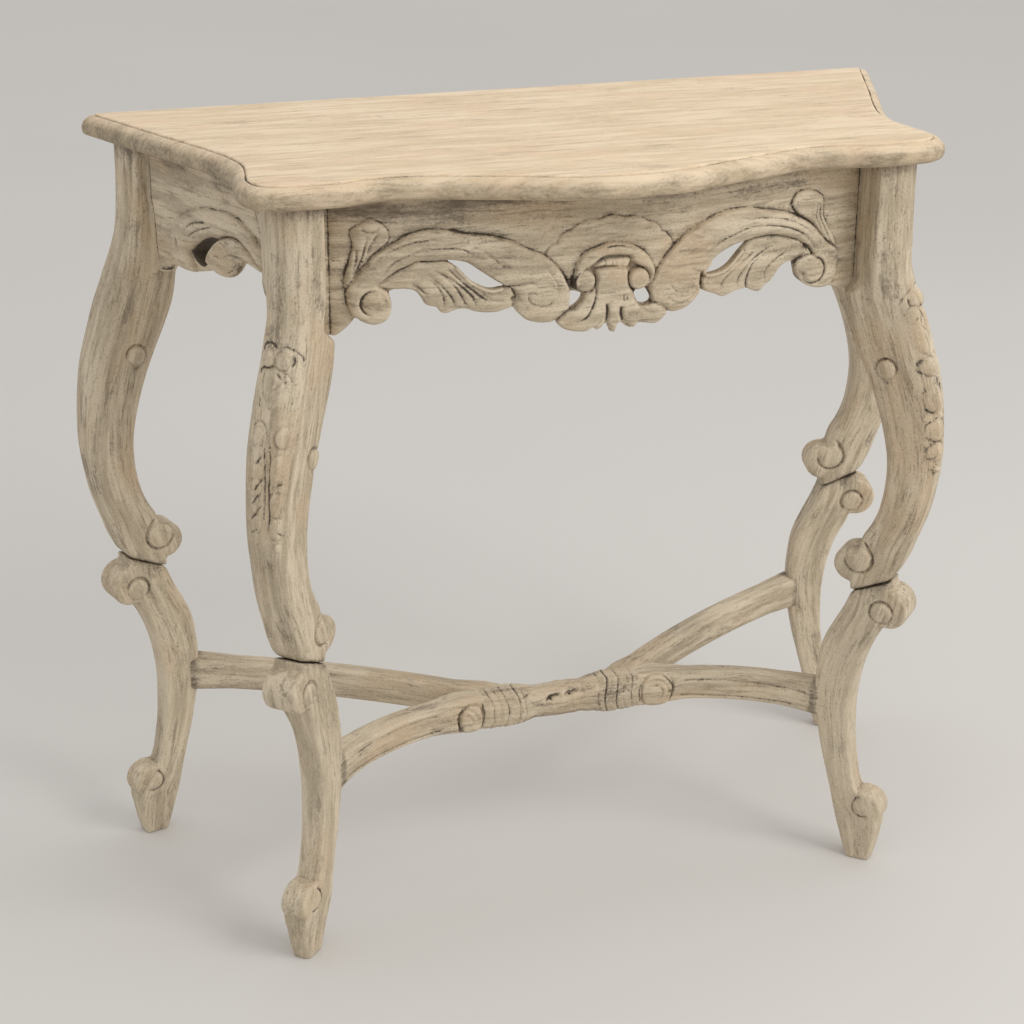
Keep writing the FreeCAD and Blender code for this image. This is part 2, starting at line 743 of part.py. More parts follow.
def tenon_pair(name, seat, outward, across, root):
    """A tenon that runs out of an apron's end, and the mortise that takes it.

    seat is the point of the end where one cheek of the tenon leaves it, across points to its other cheek,
    and root is how far the tenon starts inside the board.
    """
    turn = Rotation(outward, across, UP, "XYZ")
    level = leg_top - size("tenon_shoulder") - size("tenon_height")
    corner = Vector(seat.x, seat.y, level) - outward * root
    gap = size("glue_gap")
    tenon = box(
        name,
        Placement(corner, turn),
        Length=f"Sizes.tenon_length + {root}",
        Width="Sizes.tenon_thickness",
        Height="Sizes.tenon_height",
    )
    mortise = box(
        name + "_mortise",
        Placement(corner - turn.multVec(Vector(0, gap, gap)), turn),
        Length=f"Sizes.tenon_length + Sizes.glue_gap + {root}",
        Width="Sizes.tenon_thickness + 2 * Sizes.glue_gap",
        Height="Sizes.tenon_height + 2 * Sizes.glue_gap",
    )
    return tenon, mortise


def front_tenon():
    half, face, _ = front_apron_line()
    seat = Vector(half, face + size("tenon_face"), 0)
    return tenon_pair("front_tenon", seat, Vector(1, 0, 0), ACROSS, size("tenon_thickness"))


def side_tenons():
    """Tenons at the front and back ends of the right side apron."""
    start, end = side_apron_line()
    along = (end - start).normalize()
    inward = UP.cross(along)
    near = start + inward * (size("tenon_face") + size("tenon_thickness"))
    far = end + inward * size("tenon_face")
    root = size("apron_thickness")
    return (
        tenon_pair("side_front_tenon", near, along * -1, inward * -1, root),
        tenon_pair("side_back_tenon", far, along, inward, root),
    )


def back_tenon():
    inner = Vector(size("back_post_cheek") - size("back_post_depth"), 0, 0)
    board = back_y - size("back_apron_inset") - size("back_apron_thickness")
    cheek = board + (size("back_apron_thickness") - size("tenon_thickness")) / 2
    seat = Vector(axis[BACK].multVec(inner).x, cheek, 0)
    return tenon_pair("back_tenon", seat, Vector(1, 0, 0), ACROSS, size("back_apron_thickness"))


# The stretcher: a carved centre bar with two curved arms at each end.


def arc_arm(name, start, middle, end):
    """An arm of constant width along the arc through three points, with softened edges."""
    body = new_body(name)
    sketch = new_sketch(body, name + "_plan", "XY_Plane")
    bind(sketch, AttachmentOffset__Base__z="Sizes.stretcher_height")
    circle = Part.Arc(start, middle, end).toShape().Curve
    half = size("arm_width") / 2
    rails = []
    for grow in (-half, half):
        spread = (circle.Radius + grow) / circle.Radius
        points = [circle.Center + (point - circle.Center) * spread for point in (start, middle, end)]
        sketch.addGeometry(Part.Arc(*points), False)
        rails.append(points)
    for index in (0, 2):
        sketch.addGeometry(Part.LineSegment(rails[0][index], rails[1][index]), False)
    bar = pad(body, sketch, "Sizes.arm_depth", both_ways=True)

    def along_arm(edge):
        return edge.BoundBox.ZLength < TOUCH and edge.Length > 2 * size("arm_width")

    round_edges(body, bar, along_arm, "Sizes.arm_round")
    return body


def make_hub():
    """Centre bar with two rings near each end."""
    body = new_body("stretcher_hub_blank")
    y = front_y + size("stretcher_setback")
    level = size("stretcher_height")

    def block(name, x, grow, length):
        """A rounded block along the bar; grow is how far it stands above the plain bar."""
        sketch = new_sketch(body, name, "YZ_Plane", Placement(Vector(0, 0, x), Rotation()))
        half_width = size("hub_width") / 2 + grow
        half_depth = size("hub_depth") / 2 + grow
        bend = size("arm_round")
        flat = half_width - bend
        wall = half_depth - bend
        quarter = math.pi / 2
        for turn, (side, rise) in enumerate(((1, 1), (-1, 1), (-1, -1), (1, -1))):
            circle = Part.Circle(Vector(y + side * flat, level + rise * wall, 0), UP, bend)
            sketch.addGeometry(Part.ArcOfCircle(circle, turn * quarter, (turn + 1) * quarter), False)
        for sign in (-1, 1):
            cap = level + sign * half_depth
            face = y + sign * half_width
            sketch.addGeometry(lines([(y - flat, cap), (y + flat, cap)])[0], False)
            sketch.addGeometry(lines([(face, level - wall), (face, level + wall)])[0], False)
        pad(body, sketch, length, both_ways=True)

    block("hub_bar", 0, 0, "Sizes.hub_length")
    outer = size("ring_spread") / 2
    for side in (-1, 1):
        for number, place in enumerate((outer, outer - size("ring_pitch"))):
            block(f"hub_ring_{side + 1}_{number}", side * place, size("ring_proud"), "Sizes.ring_length")
    return body


def hub_middle():
    return Vector(0, front_y + size("stretcher_setback"), 0)


def front_arm_points():
    """An arc that leaves the centre bar along its length and ends inside the front leg."""
    start = hub_middle() + Vector(size("hub_length") / 2, 0, 0)
    end = axis[FRONT].multVec(Vector(-size("front_arm_seat"), 0, 0))
    run = end - start
    radius = (run.x**2 + run.y**2) / (2 * abs(run.y))
    half_turn = math.asin(run.x / radius) / 2
    middle = start + Vector(radius * math.sin(half_turn), -radius * (1 - math.cos(half_turn)), 0)
    return start, middle, end


def back_arm_arc():
    """Middle line of a back arm: a gently bowed arc from the centre bar's back face to inside the back leg."""
    seat = hub_middle() + Vector(size("back_arm_start"), size("hub_width") / 2, 0)
    end = axis[BACK].multVec(Vector(-size("back_arm_seat"), 0, 0))
    bow = UP.cross((end - seat).normalize()) * size("back_arm_bow")
    return Part.Arc(seat, (seat + end) * 0.5 + bow, end).toShape()


def back_arm_points():
    """The same arc, but from the middle of the centre bar, where the arm's blank starts."""
    arc = back_arm_arc()
    first, last = arc.FirstParameter, arc.LastParameter
    sink = size("hub_width") / 2 / arc.tangentAt(first).y
    return [arc.Curve.value(place) for place in (first - sink / arc.Curve.Radius, (first + last) / 2, last)]


def make_toe_trim():
    """What is sawn off the toe of a back arm, flush with the inner side of the outer ring."""
    height = size("hub_depth") + size("arm_depth")
    corner = hub_middle() + Vector(0, 0, size("stretcher_height") - height / 2)
    return box(
        "toe_trim",
        Placement(corner, Rotation()),
        Length="(Sizes.ring_spread - Sizes.ring_length) / 2",
        Width="Sizes.hub_width + Sizes.arm_width",
        Height="Sizes.hub_depth + Sizes.arm_depth",
    )


def end_direction(points):
    """Direction of the arc through three points where it ends."""
    arc = Part.Arc(*points)
    return arc.tangent(arc.LastParameter)[0]


def arm_leg_dowel(end, points):
    """Dowel along the end of an arm, centred where the arm's middle line meets the inner side of its lower leg."""
    outward = axis[end].Rotation.multVec(Vector(1, 0, 0))
    along = end_direction(points)
    if along.dot(outward) < 0:
        along = along * -1
    inner_side = station("ankle", "reach") - station("ankle", "depth") / 2
    sunk = (-size(f"{end}_arm_seat") - inner_side) / along.dot(outward)
    middle = points[-1] - along * sunk + Vector(0, 0, size("stretcher_height"))
    return dowel_pair(f"{end}_arm_leg_dowel", middle, along)


def arm_hub_dowels():
    """Dowels between the centre bar and its arms, one above the other so that they pass.

    A back arm's dowel lies between the arm's direction and square to the bar, so that it stays inside both.
    """
    level = size("stretcher_height")
    stagger = Vector(0, 0, size("dowel_stagger"))
    front_seat = hub_middle() + Vector(size("hub_length") / 2, 0, level) - stagger
    front = dowel_pair("front_arm_hub_dowel", front_seat, Vector(1, 0, 0))
    arc = back_arm_arc()
    along = (arc.tangentAt(arc.FirstParameter) * 2 + ACROSS).normalize()
    hole_reach = (size("dowel_radius") + size("glue_gap")) / along.y
    room = size("hub_length") / 2 - size("dowel_wall") - hole_reach
    place = min(size("back_arm_start"), room)
    back_seat = hub_middle() + Vector(place, size("hub_width") / 2, level) + stagger
    back = dowel_pair("back_arm_hub_dowel", back_seat, along)
    return front, back


# Corner blocks and their screws.


def block_plan(end):
    """Corners of a glue block, run into the aprons and the post, and scribed to them afterwards."""
    reach = size("block_reach")
    start, far = side_apron_line()
    along = (far - start).normalize()
    inward = UP.cross(along) * (size("apron_thickness") / 2)
    sink = size("tenon_thickness")
    if end == FRONT:
        half, face, radius = front_apron_line()
        bow = size("front_apron_bow")
        core = size("apron_thickness") / 2

        def core_y(x):
            return face - bow + radius - math.sqrt((radius - core) ** 2 - x**2)

        tip = Vector(half - reach, core_y(half - reach), 0)
        heel = Vector(half + sink, core_y(half), 0)
        return [start + along * reach + inward, start - along * sink + inward, heel, tip]
    inner = axis[BACK].multVec(Vector(size("back_post_cheek") - size("back_post_depth"), 0, 0)).x
    core = back_y - size("back_apron_inset") - size("back_apron_thickness") / 2
    return [
        Vector(inner - reach, core, 0),
        Vector(inner + sink, core, 0),
        far + along * sink + inward,
        far - along * reach + inward,
    ]


def make_block_blank(end):
    body = new_body(f"{end}_block_blank")
    sketch = new_sketch(body, f"{end}_block_plan", "XY_Plane")
    bind(sketch, AttachmentOffset__Base__z=LEG_TOP + " - Sizes.block_height")
    corners = [(point.x, point.y) for point in block_plan(end)]
    for edge in lines(corners + corners[:1]):
        sketch.addGeometry(edge, False)
    pad(body, sketch, "Sizes.block_height")
    return body


def make_screw(name, head, direction, length):
    """A countersunk screw with its head flush at a point."""
    turn = Rotation(UP, direction)
    place = Placement(head, turn)
    cone = doc.addObject("Part::Cone", name + "_head")
    bind(cone, Radius1="Sizes.screw_head_radius", Radius2="Sizes.screw_radius")
    bind(cone, Height="Sizes.screw_head_length")
    cone.Placement = place
    shank = doc.addObject("Part::Cylinder", name + "_shank")
    bind(shank, Radius="Sizes.screw_radius", Height=length)
    shank.Placement = place
    return boolean(FUSE, name, [cone, shank])


def block_screws(end):
    """One screw from the block's slanted face into the post, and one up through the block into the top."""
    plan = block_plan(end)
    slant = plan[0] - plan[-1]
    outward = slant.cross(UP).normalize()
    middle = (plan[0] + plan[-1]) * 0.5
    post_head = middle + Vector(0, 0, leg_top - size("block_height") / 2)
    post_screw = make_screw(f"{end}_post_screw", post_head, outward, "Sizes.leg_screw_length")
    aside = outward * size("top_screw_inset") - slant.normalize() * size("top_screw_aside")
    top_head = middle + aside + Vector(0, 0, leg_top - size("block_height"))
    top_screw = make_screw(f"{end}_top_screw", top_head, UP, "Sizes.block_height + Sizes.top_screw_bite")
    return post_screw, top_screw


# Assembly of the right-hand side, its mirror twins and the pieces in the middle.

post = {FRONT: make_front_post(), BACK: make_back_post()}
upper_blank = {end: make_upper_blank(end, post[end]) for end in (FRONT, BACK)}
lower_blank = {end: make_lower_blank(end) for end in (FRONT, BACK)}

front_pair = front_tenon()
side_front_pair, side_back_pair = side_tenons()
back_pair = back_tenon()
mortises = {FRONT: [front_pair[1], side_front_pair[1]], BACK: [side_back_pair[1], back_pair[1]]}

waist_dowel = {end: dowel_pair(f"{end}_waist_dowel", *waist_frame(axis[end])) for end in (FRONT, BACK)}
arm_points = {FRONT: front_arm_points(), BACK: back_arm_points()}
leg_dowel = {end: arm_leg_dowel(end, arm_points[end]) for end in (FRONT, BACK)}
hub_dowel = dict(zip((FRONT, BACK), arm_hub_dowels()))
screws = {end: block_screws(end) for end in (FRONT, BACK)}

nodes = {}
for end in (FRONT, BACK):
    upper_tools = mortises[end] + [waist_dowel[end][1], screws[end][0]]
    nodes[f"{end}_right_upper_leg"] = cut(f"{end}_right_upper_leg", upper_blank[end], upper_tools)
    lower_tools = [waist_dowel[end][1], leg_dowel[end][1]]
    nodes[f"{end}_right_lower_leg"] = cut(f"{end}_right_lower_leg", lower_blank[end], lower_tools)

front_legs = [upper_blank[FRONT], mirror("front_left_upper_blank", upper_blank[FRONT])]
front_tenons = [front_pair[0], mirror("front_left_tenon", front_pair[0])]
front_scribed = cut("front_scribed", make_front_board(), front_legs)
nodes["front_apron"] = boolean(FUSE, "front_apron", [front_scribed] + front_tenons)

side_scribed = cut("side_scribed", make_side_board(), [upper_blank[FRONT], upper_blank[BACK]])
nodes["right_apron"] = boolean(FUSE, "right_apron", [side_scribed, side_front_pair[0], side_back_pair[0]])

back_legs = [upper_blank[BACK], mirror("back_left_upper_blank", upper_blank[BACK])]
back_tenons = [back_pair[0], mirror("back_left_tenon", back_pair[0])]
back_scribed = cut("back_scribed", make_back_board(), back_legs)
nodes["back_apron"] = boolean(FUSE, "back_apron", [back_scribed] + back_tenons)

neighbours = {FRONT: nodes["front_apron"], BACK: nodes["back_apron"]}
for end in (FRONT, BACK):
    name = f"{end}_right_corner_block"
    around = boolean(FUSE, name + "_seat", [upper_blank[end], neighbours[end], nodes["right_apron"]])
    scribed = cut(name + "_scribed", make_block_blank(end), [around])
    nodes[name] = cut(name, scribed, list(screws[end]))

hub_blank = make_hub()
front_arm_blank = arc_arm("front_arm_blank", *arm_points[FRONT])
back_arm_blank = arc_arm("back_arm_blank", *arm_points[BACK])
arm_holes = {end: [leg_dowel[end][1], hub_dowel[end][1]] for end in (FRONT, BACK)}
front_arm_scribed = cut("front_arm_scribed", front_arm_blank, [lower_blank[FRONT]])
back_seats = boolean(FUSE, "back_arm_seats", [hub_blank, front_arm_blank, make_toe_trim()])
back_arm_scribed = cut("back_arm_scribed", back_arm_blank, [back_seats, lower_blank[BACK]])
for end, arm in ((FRONT, front_arm_scribed), (BACK, back_arm_scribed)):
    nodes[f"{end}_right_stretcher_arm"] = cut(f"{end}_right_stretcher_arm", arm, arm_holes[end])

hub_holes = [hub_dowel[FRONT][1], hub_dowel[BACK][1]]
hub_holes += [mirror(f"{hole.Name}_left", hole) for hole in hub_holes]
nodes["stretcher_hub"] = cut("stretcher_hub", hub_blank, hub_holes)

for name in [name for name in nodes if "right" in name]:
    twin = name.replace("right", "left")
    nodes[twin] = mirror(twin, nodes[name])


def group(name, pieces):
    """Identical fasteners of both sides as one node of separate solids."""
    nodes[name] = bundle(name, pieces + [mirror(f"{piece.Name}_left", piece) for piece in pieces])


group("waist_dowels", [waist_dowel[end][0] for end in (FRONT, BACK)])
group("stretcher_leg_dowels", [leg_dowel[end][0] for end in (FRONT, BACK)])
group("stretcher_hub_dowels", [hub_dowel[end][0] for end in (FRONT, BACK)])
group("leg_screws", [screws[end][0] for end in (FRONT, BACK)])
group("top_screws", [screws[end][1] for end in (FRONT, BACK)])

for board in make_top():
    name = board.Name
    board.Label = name + "_blank"
    nodes[name] = cut(name + "_bored", board, [nodes["top_screws"]])

doc.recompute()

# Nothing is written unless every piece is sound.
for piece in doc.Objects:
    if "Invalid" in piece.State or "Error" in piece.State:
        raise RuntimeError(f"{piece.Label} did not build: {piece.State}")
os.makedirs("parts", exist_ok=True)
for name, piece in nodes.items():
    shape = piece.Shape
    if shape.isNull() or not shape.isValid() or not shape.Solids:
        raise RuntimeError(f"{name} is not a sound solid")
    piece.Label = name
for name, piece in nodes.items():
    piece.Shape.exportStep(f"parts/{name}.step")
    print(f"{name}: {len(piece.Shape.Solids)} solids, {piece.Shape.Volume / 1000:.1f} cm3")
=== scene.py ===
"""Looks of the carved pier table: limed wood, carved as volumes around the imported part."""

import json
import math

import bmesh
import bpy
import numpy as np
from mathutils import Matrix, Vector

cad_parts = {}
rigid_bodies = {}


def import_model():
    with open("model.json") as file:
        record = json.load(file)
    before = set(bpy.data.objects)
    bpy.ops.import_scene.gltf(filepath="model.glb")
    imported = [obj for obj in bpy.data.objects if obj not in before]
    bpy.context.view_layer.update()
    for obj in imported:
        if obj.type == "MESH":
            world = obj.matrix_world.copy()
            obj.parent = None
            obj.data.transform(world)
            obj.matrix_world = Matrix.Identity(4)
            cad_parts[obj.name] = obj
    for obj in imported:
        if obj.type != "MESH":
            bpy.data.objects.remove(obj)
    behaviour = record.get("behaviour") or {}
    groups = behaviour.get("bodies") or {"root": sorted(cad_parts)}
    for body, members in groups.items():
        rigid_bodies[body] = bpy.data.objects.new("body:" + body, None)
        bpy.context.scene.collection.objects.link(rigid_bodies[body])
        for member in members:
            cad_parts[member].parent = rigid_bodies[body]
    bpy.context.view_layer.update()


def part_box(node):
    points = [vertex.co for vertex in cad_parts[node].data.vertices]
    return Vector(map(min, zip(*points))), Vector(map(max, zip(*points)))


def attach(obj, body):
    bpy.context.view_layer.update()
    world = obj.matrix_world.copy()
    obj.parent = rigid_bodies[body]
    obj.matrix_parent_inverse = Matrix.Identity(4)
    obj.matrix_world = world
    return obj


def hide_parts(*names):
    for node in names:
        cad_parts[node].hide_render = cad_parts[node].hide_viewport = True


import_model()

import openvdb
from mathutils import Matrix, Vector
from mathutils.geometry import delaunay_2d_cdt

# Lengths are in millimetres, apart from the studio's. FAR reaches past every sheet, NEAR_SKIN counts the
# cells on each side of a skin that shape it, and FULL_BEND is the bend that counts as fully hollow.
MM = 0.001
FAR = 1000.0
NEAR_SKIN = 4
FULL_BEND = 120.0
SIDES = {"right": 1.0, "left": -1.0}
chance = np.random.default_rng(11)


# Drawing tools.


def curve(points, closed=False, step=2.5):
    """A smooth line through points, cut into short runs."""
    p = np.asarray(points, float)
    if closed:
        ring = np.vstack([p[-1:], p, p[:2]])
    else:
        ring = np.vstack([2 * p[0] - p[1], p, 2 * p[-1] - p[-2]])
    rows = []
    for a, b, c, d in zip(ring, ring[1:], ring[2:], ring[3:]):
        count = max(2, int(np.linalg.norm(c - b) / step) + 1)
        t = np.linspace(0, 1, count, endpoint=False)[:, None]
        bend = (2 * a - 5 * b + 4 * c - d) * t**2 + (3 * b - a - 3 * c + d) * t**3
        rows.append(0.5 * (2 * b + (c - a) * t + bend))
    return np.vstack(rows) if closed else np.vstack(rows + [p[-1:]])


def spiral(centre, radii, start, end, count=40):
    """Points of a spiral from the first radius to the second, with its angles in degrees."""
    turn = np.radians(np.linspace(start, end, count))
    reach = np.linspace(radii[0], radii[1], count)
    return np.column_stack([centre[0] + reach * np.cos(turn), centre[1] + reach * np.sin(turn)])


def arc(centre, radius, start, end, count=24):
    """Points of an arc, with its angles in degrees."""
    return spiral(centre, (radius, radius), start, end, count)


def table(rows, at):
    """Values between the rows of a table of places and values."""
    places, values = np.array(sorted(rows)).T
    return np.interp(at, places, values)


def travelled(path):
    """Distance along a path from its start to each of its points."""
    return np.concatenate([[0], np.cumsum(np.hypot(*np.diff(path, axis=0).T))])


def headings(path):
    """Unit directions of a path at its points."""
    along = np.gradient(path, axis=0)
    return along / np.linalg.norm(along, axis=1)[:, None]


def ripple(u, v, wave, seed):
    """Smooth uneven waves about one unit high."""
    source = np.random.default_rng(seed)
    total = 0.0
    for _ in range(5):
        turn, phase = source.uniform(0, 2 * math.pi, 2)
        pull = 2 * math.pi / (wave * source.uniform(0.7, 1.6))
        total = total + np.sin(pull * (u * math.cos(turn) + v * math.sin(turn)) + phase)
    return total / 3


def ramp(value, low, high):
    """0 below low, 1 above high and smooth between."""
    t = np.clip((value - low) / (high - low), 0, 1)
    return t * t * (3 - 2 * t)


def meet(a, b, radius):
    """The part that two fields share, with a rounded edge."""
    rim = np.hypot(np.maximum(a + radius, 0), np.maximum(b + radius, 0))
    return np.minimum(np.maximum(a, b), -radius) + rim


def join(a, b, radius):
    """Two fields together, with a filled corner."""
    rim = np.hypot(np.maximum(radius - a, 0), np.maximum(radius - b, 0))
    return np.maximum(np.minimum(a, b), radius) - rim


class Sheet:
    """A flat grid of heights, dark lines of dirt and painted shadow, and soft painted shade, that is carved
    with lines and shapes.
    """

    CRISP = 3.5
    CUSHION_REACH = 12

    def __init__(self, u_range, v_range, step):
        self.step = step
        self.u = np.arange(u_range[0], u_range[1] + step, step)
        self.v = np.arange(v_range[0], v_range[1] + step, step)
        self.height = np.zeros((len(self.u), len(self.v)))
        self.dirt = np.zeros_like(self.height)
        self.shade = np.zeros_like(self.height)

    def window(self, line, reach):
        """Slices and coordinates of the part of the grid round a line."""
        low, high = line.min(0) - reach, line.max(0) + reach
        i = np.searchsorted(self.u, (low[0], high[0]))
        j = np.searchsorted(self.v, (low[1], high[1]))
        return (slice(*i), slice(*j)), self.u[i[0] : i[1], None], self.v[None, j[0] : j[1]]

    def distance(self, line, reach):
        """Window round a line, the distance to the line and the share along it."""
        box, u, v = self.window(line, reach)
        best = np.full((u.shape[0], v.shape[1]), FAR)
        share = np.zeros_like(best)
        runs = np.hypot(*np.diff(line, axis=0).T)
        start = np.concatenate([[0], np.cumsum(runs)])
        for k, (a, b) in enumerate(zip(line, line[1:])):
            d = b - a
            t = np.clip(((u - a[0]) * d[0] + (v - a[1]) * d[1]) / max(d @ d, 1e-9), 0, 1)
            gap = np.hypot(u - a[0] - t * d[0], v - a[1] - t * d[1])
            near = gap < best
            best = np.where(near, gap, best)
            share = np.where(near, (start[k] + t * runs[k]) / start[-1], share)
        return box, best, share

    def depth(self, loop, reach):
        """Window round a closed loop and the depth inside it, below 0 outside."""
        box, gap, _ = self.distance(np.vstack([loop, loop[:1]]), reach)
        _, u, v = self.window(loop, reach)
        odd = np.zeros(gap.shape, bool)
        for a, b in zip(loop, np.roll(loop, -1, axis=0)):
            rise = b[1] - a[1] or 1e-9
            odd ^= ((a[1] > v) != (b[1] > v)) & (u < a[0] + (v - a[1]) * (b[0] - a[0]) / rise)
        return box, np.where(odd, gap, -gap)

    def darken(self, box, dirt, shade):
        """Adds dark lines of dirt and painted shadow, and soft painted shade."""
        self.dirt[box] = np.maximum(self.dirt[box], dirt)
        self.shade[box] = np.maximum(self.shade[box], shade)

    def cushion(self, points, rise, shoulder, base=0.0, line=0.8, smooth=True):
        """Raises the inside of a loop to a crowned face with a crisp edge and a dark outline."""
        loop = curve(points, closed=True) if smooth else np.asarray(points, float)
        box, depth = self.depth(loop, self.CUSHION_REACH)
        edge = np.sqrt(1 - (1 - np.clip(depth / min(self.CRISP, shoulder), 0, 1)) ** 2)
        crown = np.sin(0.5 * math.pi * np.clip(depth / shoulder, 0, 1))
        bump = (base + 0.4 * rise) * edge + 0.6 * rise * crown
        height = self.height[box]
        self.height[box] = np.where(depth > 0, np.maximum(height, bump), height)
        self.height[box] -= 0.6 * np.exp(-(((depth + 0.6) / 0.9) ** 2))
        self.dirt[box] *= 1 - ramp(depth, 0, 1.2)
        self.shade[box] *= 1 - ramp(depth, 0, 3)
        outside = np.where(depth < 0, np.exp(-((depth / 5) ** 2)), np.exp(-((depth / 1.5) ** 2)))
        _, u, v = self.window(loop, self.CUSHION_REACH)
        line = line * (0.8 + 0.3 * ripple(u, v, 24, 7))
        self.darken(box, line * np.exp(-(((depth + 0.3) / 1.1) ** 2)), 0.6 * line * outside)

    def groove(self, points, width, depth, dirt=0.7, fade=0.2, smooth=True):
        """Cuts a line that fades out at its ends."""
        line = curve(points) if smooth else np.asarray(points, float)
        box, gap, share = self.distance(line, 8)
        taper = np.sqrt(np.clip(np.minimum(share, 1 - share) / fade, 0, 1))
        self.height[box] -= depth * taper * np.exp(-((gap / width) ** 2))
        thin = np.exp(-((gap / max(1.25, 0.75 * width)) ** 2))
        self.darken(box, dirt * taper * thin, 0.4 * dirt * taper * np.exp(-((gap / 3) ** 2)))

    def coil(self, centre, radii, start, end, width, depth, dirt, fade=0.2):
        """Cuts a spiral line."""
        self.groove(spiral(centre, radii, start, end), width, depth, dirt, fade, smooth=False)

    def hollow(self, centre, radius, depth, dirt=0.9):
        """Sinks a small hollow painted dark, as painted shade in the recess."""
        box, u, v = self.window(np.array([centre], float), 3 * radius)
        fall = np.exp(-(((u - centre[0]) ** 2 + (v - centre[1]) ** 2) / radius**2))
        self.height[box] -= depth * fall
        self.darken(box, dirt * fall, 0.6 * fall)

    def roll(self, points, width, rise, base=0.0, line=0.6):
        """Raises a rounded rib along a line."""
        box, gap, _ = self.distance(curve(points), 2 * width + 4)
        bump = base + rise * np.sqrt(np.clip(1 - (gap / width) ** 2, 0, 1))
        height = self.height[box]
        self.height[box] = np.where(gap < width, np.maximum(height, bump), height)
        self.darken(box, line * np.exp(-(((gap - width) / 0.9) ** 2)), 0.0)

    def dome(self, centre, radii, rise, base=0.0, line=0.8):
        """Raises an oval boss with a dark line round it."""
        rim = arc((0, 0), 1, 0, 360, 40)[:-1] * radii + np.asarray(centre, float)
        self.cushion(rim, rise, min(radii), base, line, smooth=False)

    def sample(self, grid, u, v):
        """Values of a grid of this sheet at scattered places."""
        x = np.clip((u - self.u[0]) / self.step, 0, len(self.u) - 1.001)
        y = np.clip((v - self.v[0]) / self.step, 0, len(self.v) - 1.001)
        i, j = x.astype(int), y.astype(int)
        x, y = x - i, y - j
        low = grid[i, j] * (1 - x) + grid[i + 1, j] * x
        high = grid[i, j + 1] * (1 - x) + grid[i + 1, j + 1] * x
        return low * (1 - y) + high * y

    def dark_marks(self, u, v, weight):
        """Dark lines of dirt and painted shadow, and soft painted shade, at scattered places, each times a
        weight.
        """
        return self.sample(self.dirt, u, v) * weight, self.sample(self.shade, u, v) * weight


def surface(axes, field, adapt=0.04):
    """Points and faces of the skin of a field."""
    steps = np.array([axis[1] - axis[0] for axis in axes])
    grid = openvdb.FloatGrid()
    grid.copyFromArray(np.clip(field / steps.min(), -NEAR_SKIN, NEAR_SKIN).astype(np.float32))
    points, triangles, quads = grid.convertToPolygons(isovalue=0.0, adaptivity=adapt)
    start = np.array([axis[0] for axis in axes])
    return start + points * steps, [*triangles.tolist(), *quads.tolist()]


def inside_out(points, faces):
    """Whether the faces of a closed skin look inwards."""
    halves = [[face[0], face[2], face[3]] for face in faces if len(face) == 4]
    corners = np.array([face[:3] for face in faces] + halves)
    a, b, c = (points[corners[:, k]] for k in range(3))
    return np.einsum("ij,ij->", a, np.cross(b, c)) < 0


def hollowness(mesh, points):
    """How hollow (above 0) or sharp (below 0) the skin is at each point, per metre."""
    count = len(points)
    ends = np.empty(2 * len(mesh.edges), np.int32)
    mesh.edges.foreach_get("vertices", ends)
    a, b = ends.reshape(-1, 2).T
    normals = np.empty(3 * count)
    mesh.vertices.foreach_get("normal", normals)
    normals = normals.reshape(-1, 3)
    lift = np.einsum("ij,ij->i", points[b] - points[a], normals[a])
    fall = np.einsum("ij,ij->i", points[a] - points[b], normals[b])
    length = np.linalg.norm(points[b] - points[a], axis=1) + 1e-6
    total = np.bincount(a, lift / length**2, count) + np.bincount(b, fall / length**2, count)
    number = np.maximum(np.bincount(a, minlength=count) + np.bincount(b, minlength=count), 1)
    bend = total / number
    for _ in range(2):
        around = np.bincount(a, bend[b], count) + np.bincount(b, bend[a], count)
        bend = 0.4 * bend + 0.6 * around / number
    return bend


def add_piece(node, slot, points, faces, dirt, shade, grain):
    """Makes the piece of the look that stands for one CAD node."""
    name = f"{node}_look"
    metres = np.asarray(points) * MM
    if inside_out(metres, faces):
        faces = [face[::-1] for face in faces]
    mesh = bpy.data.meshes.new(name)
    mesh.from_pydata(metres.tolist(), [], faces)
    mesh.polygons.foreach_set("use_smooth", np.ones(len(mesh.polygons), bool))
    mesh.update()
    hollow = np.clip(hollowness(mesh, metres) / FULL_BEND, -1, 1)
    marks = {"dirt": np.clip(dirt, 0, 1), "shade": np.clip(shade, -1, 1), "hollow": hollow}
    for label, values in marks.items():
        mesh.attributes.new(label, "FLOAT", "POINT").data.foreach_set("value", values.astype(np.float32))
    streaks = np.asarray(grain) * MM + chance.uniform(-3, 3, 3)
    carrier = mesh.attributes.new("grain", "FLOAT_VECTOR", "POINT")
    carrier.data.foreach_set("vector", streaks.astype(np.float32).ravel())
    mesh.materials.append(WOODS[slot])
    piece = bpy.data.objects.new(name, mesh)
    bpy.context.scene.collection.objects.link(piece)
    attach(piece, "root")
    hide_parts(node)
    return piece


# Materials.


def tone(code):
    """Linear colour of a screen colour such as b8a684."""
    parts = [int(code[k : k + 2], 16) / 255 for k in (0, 2, 4)]
    return [p / 12.92 if p <= 0.04045 else ((p + 0.055) / 1.055) ** 2.4 for p in parts] + [1.0]


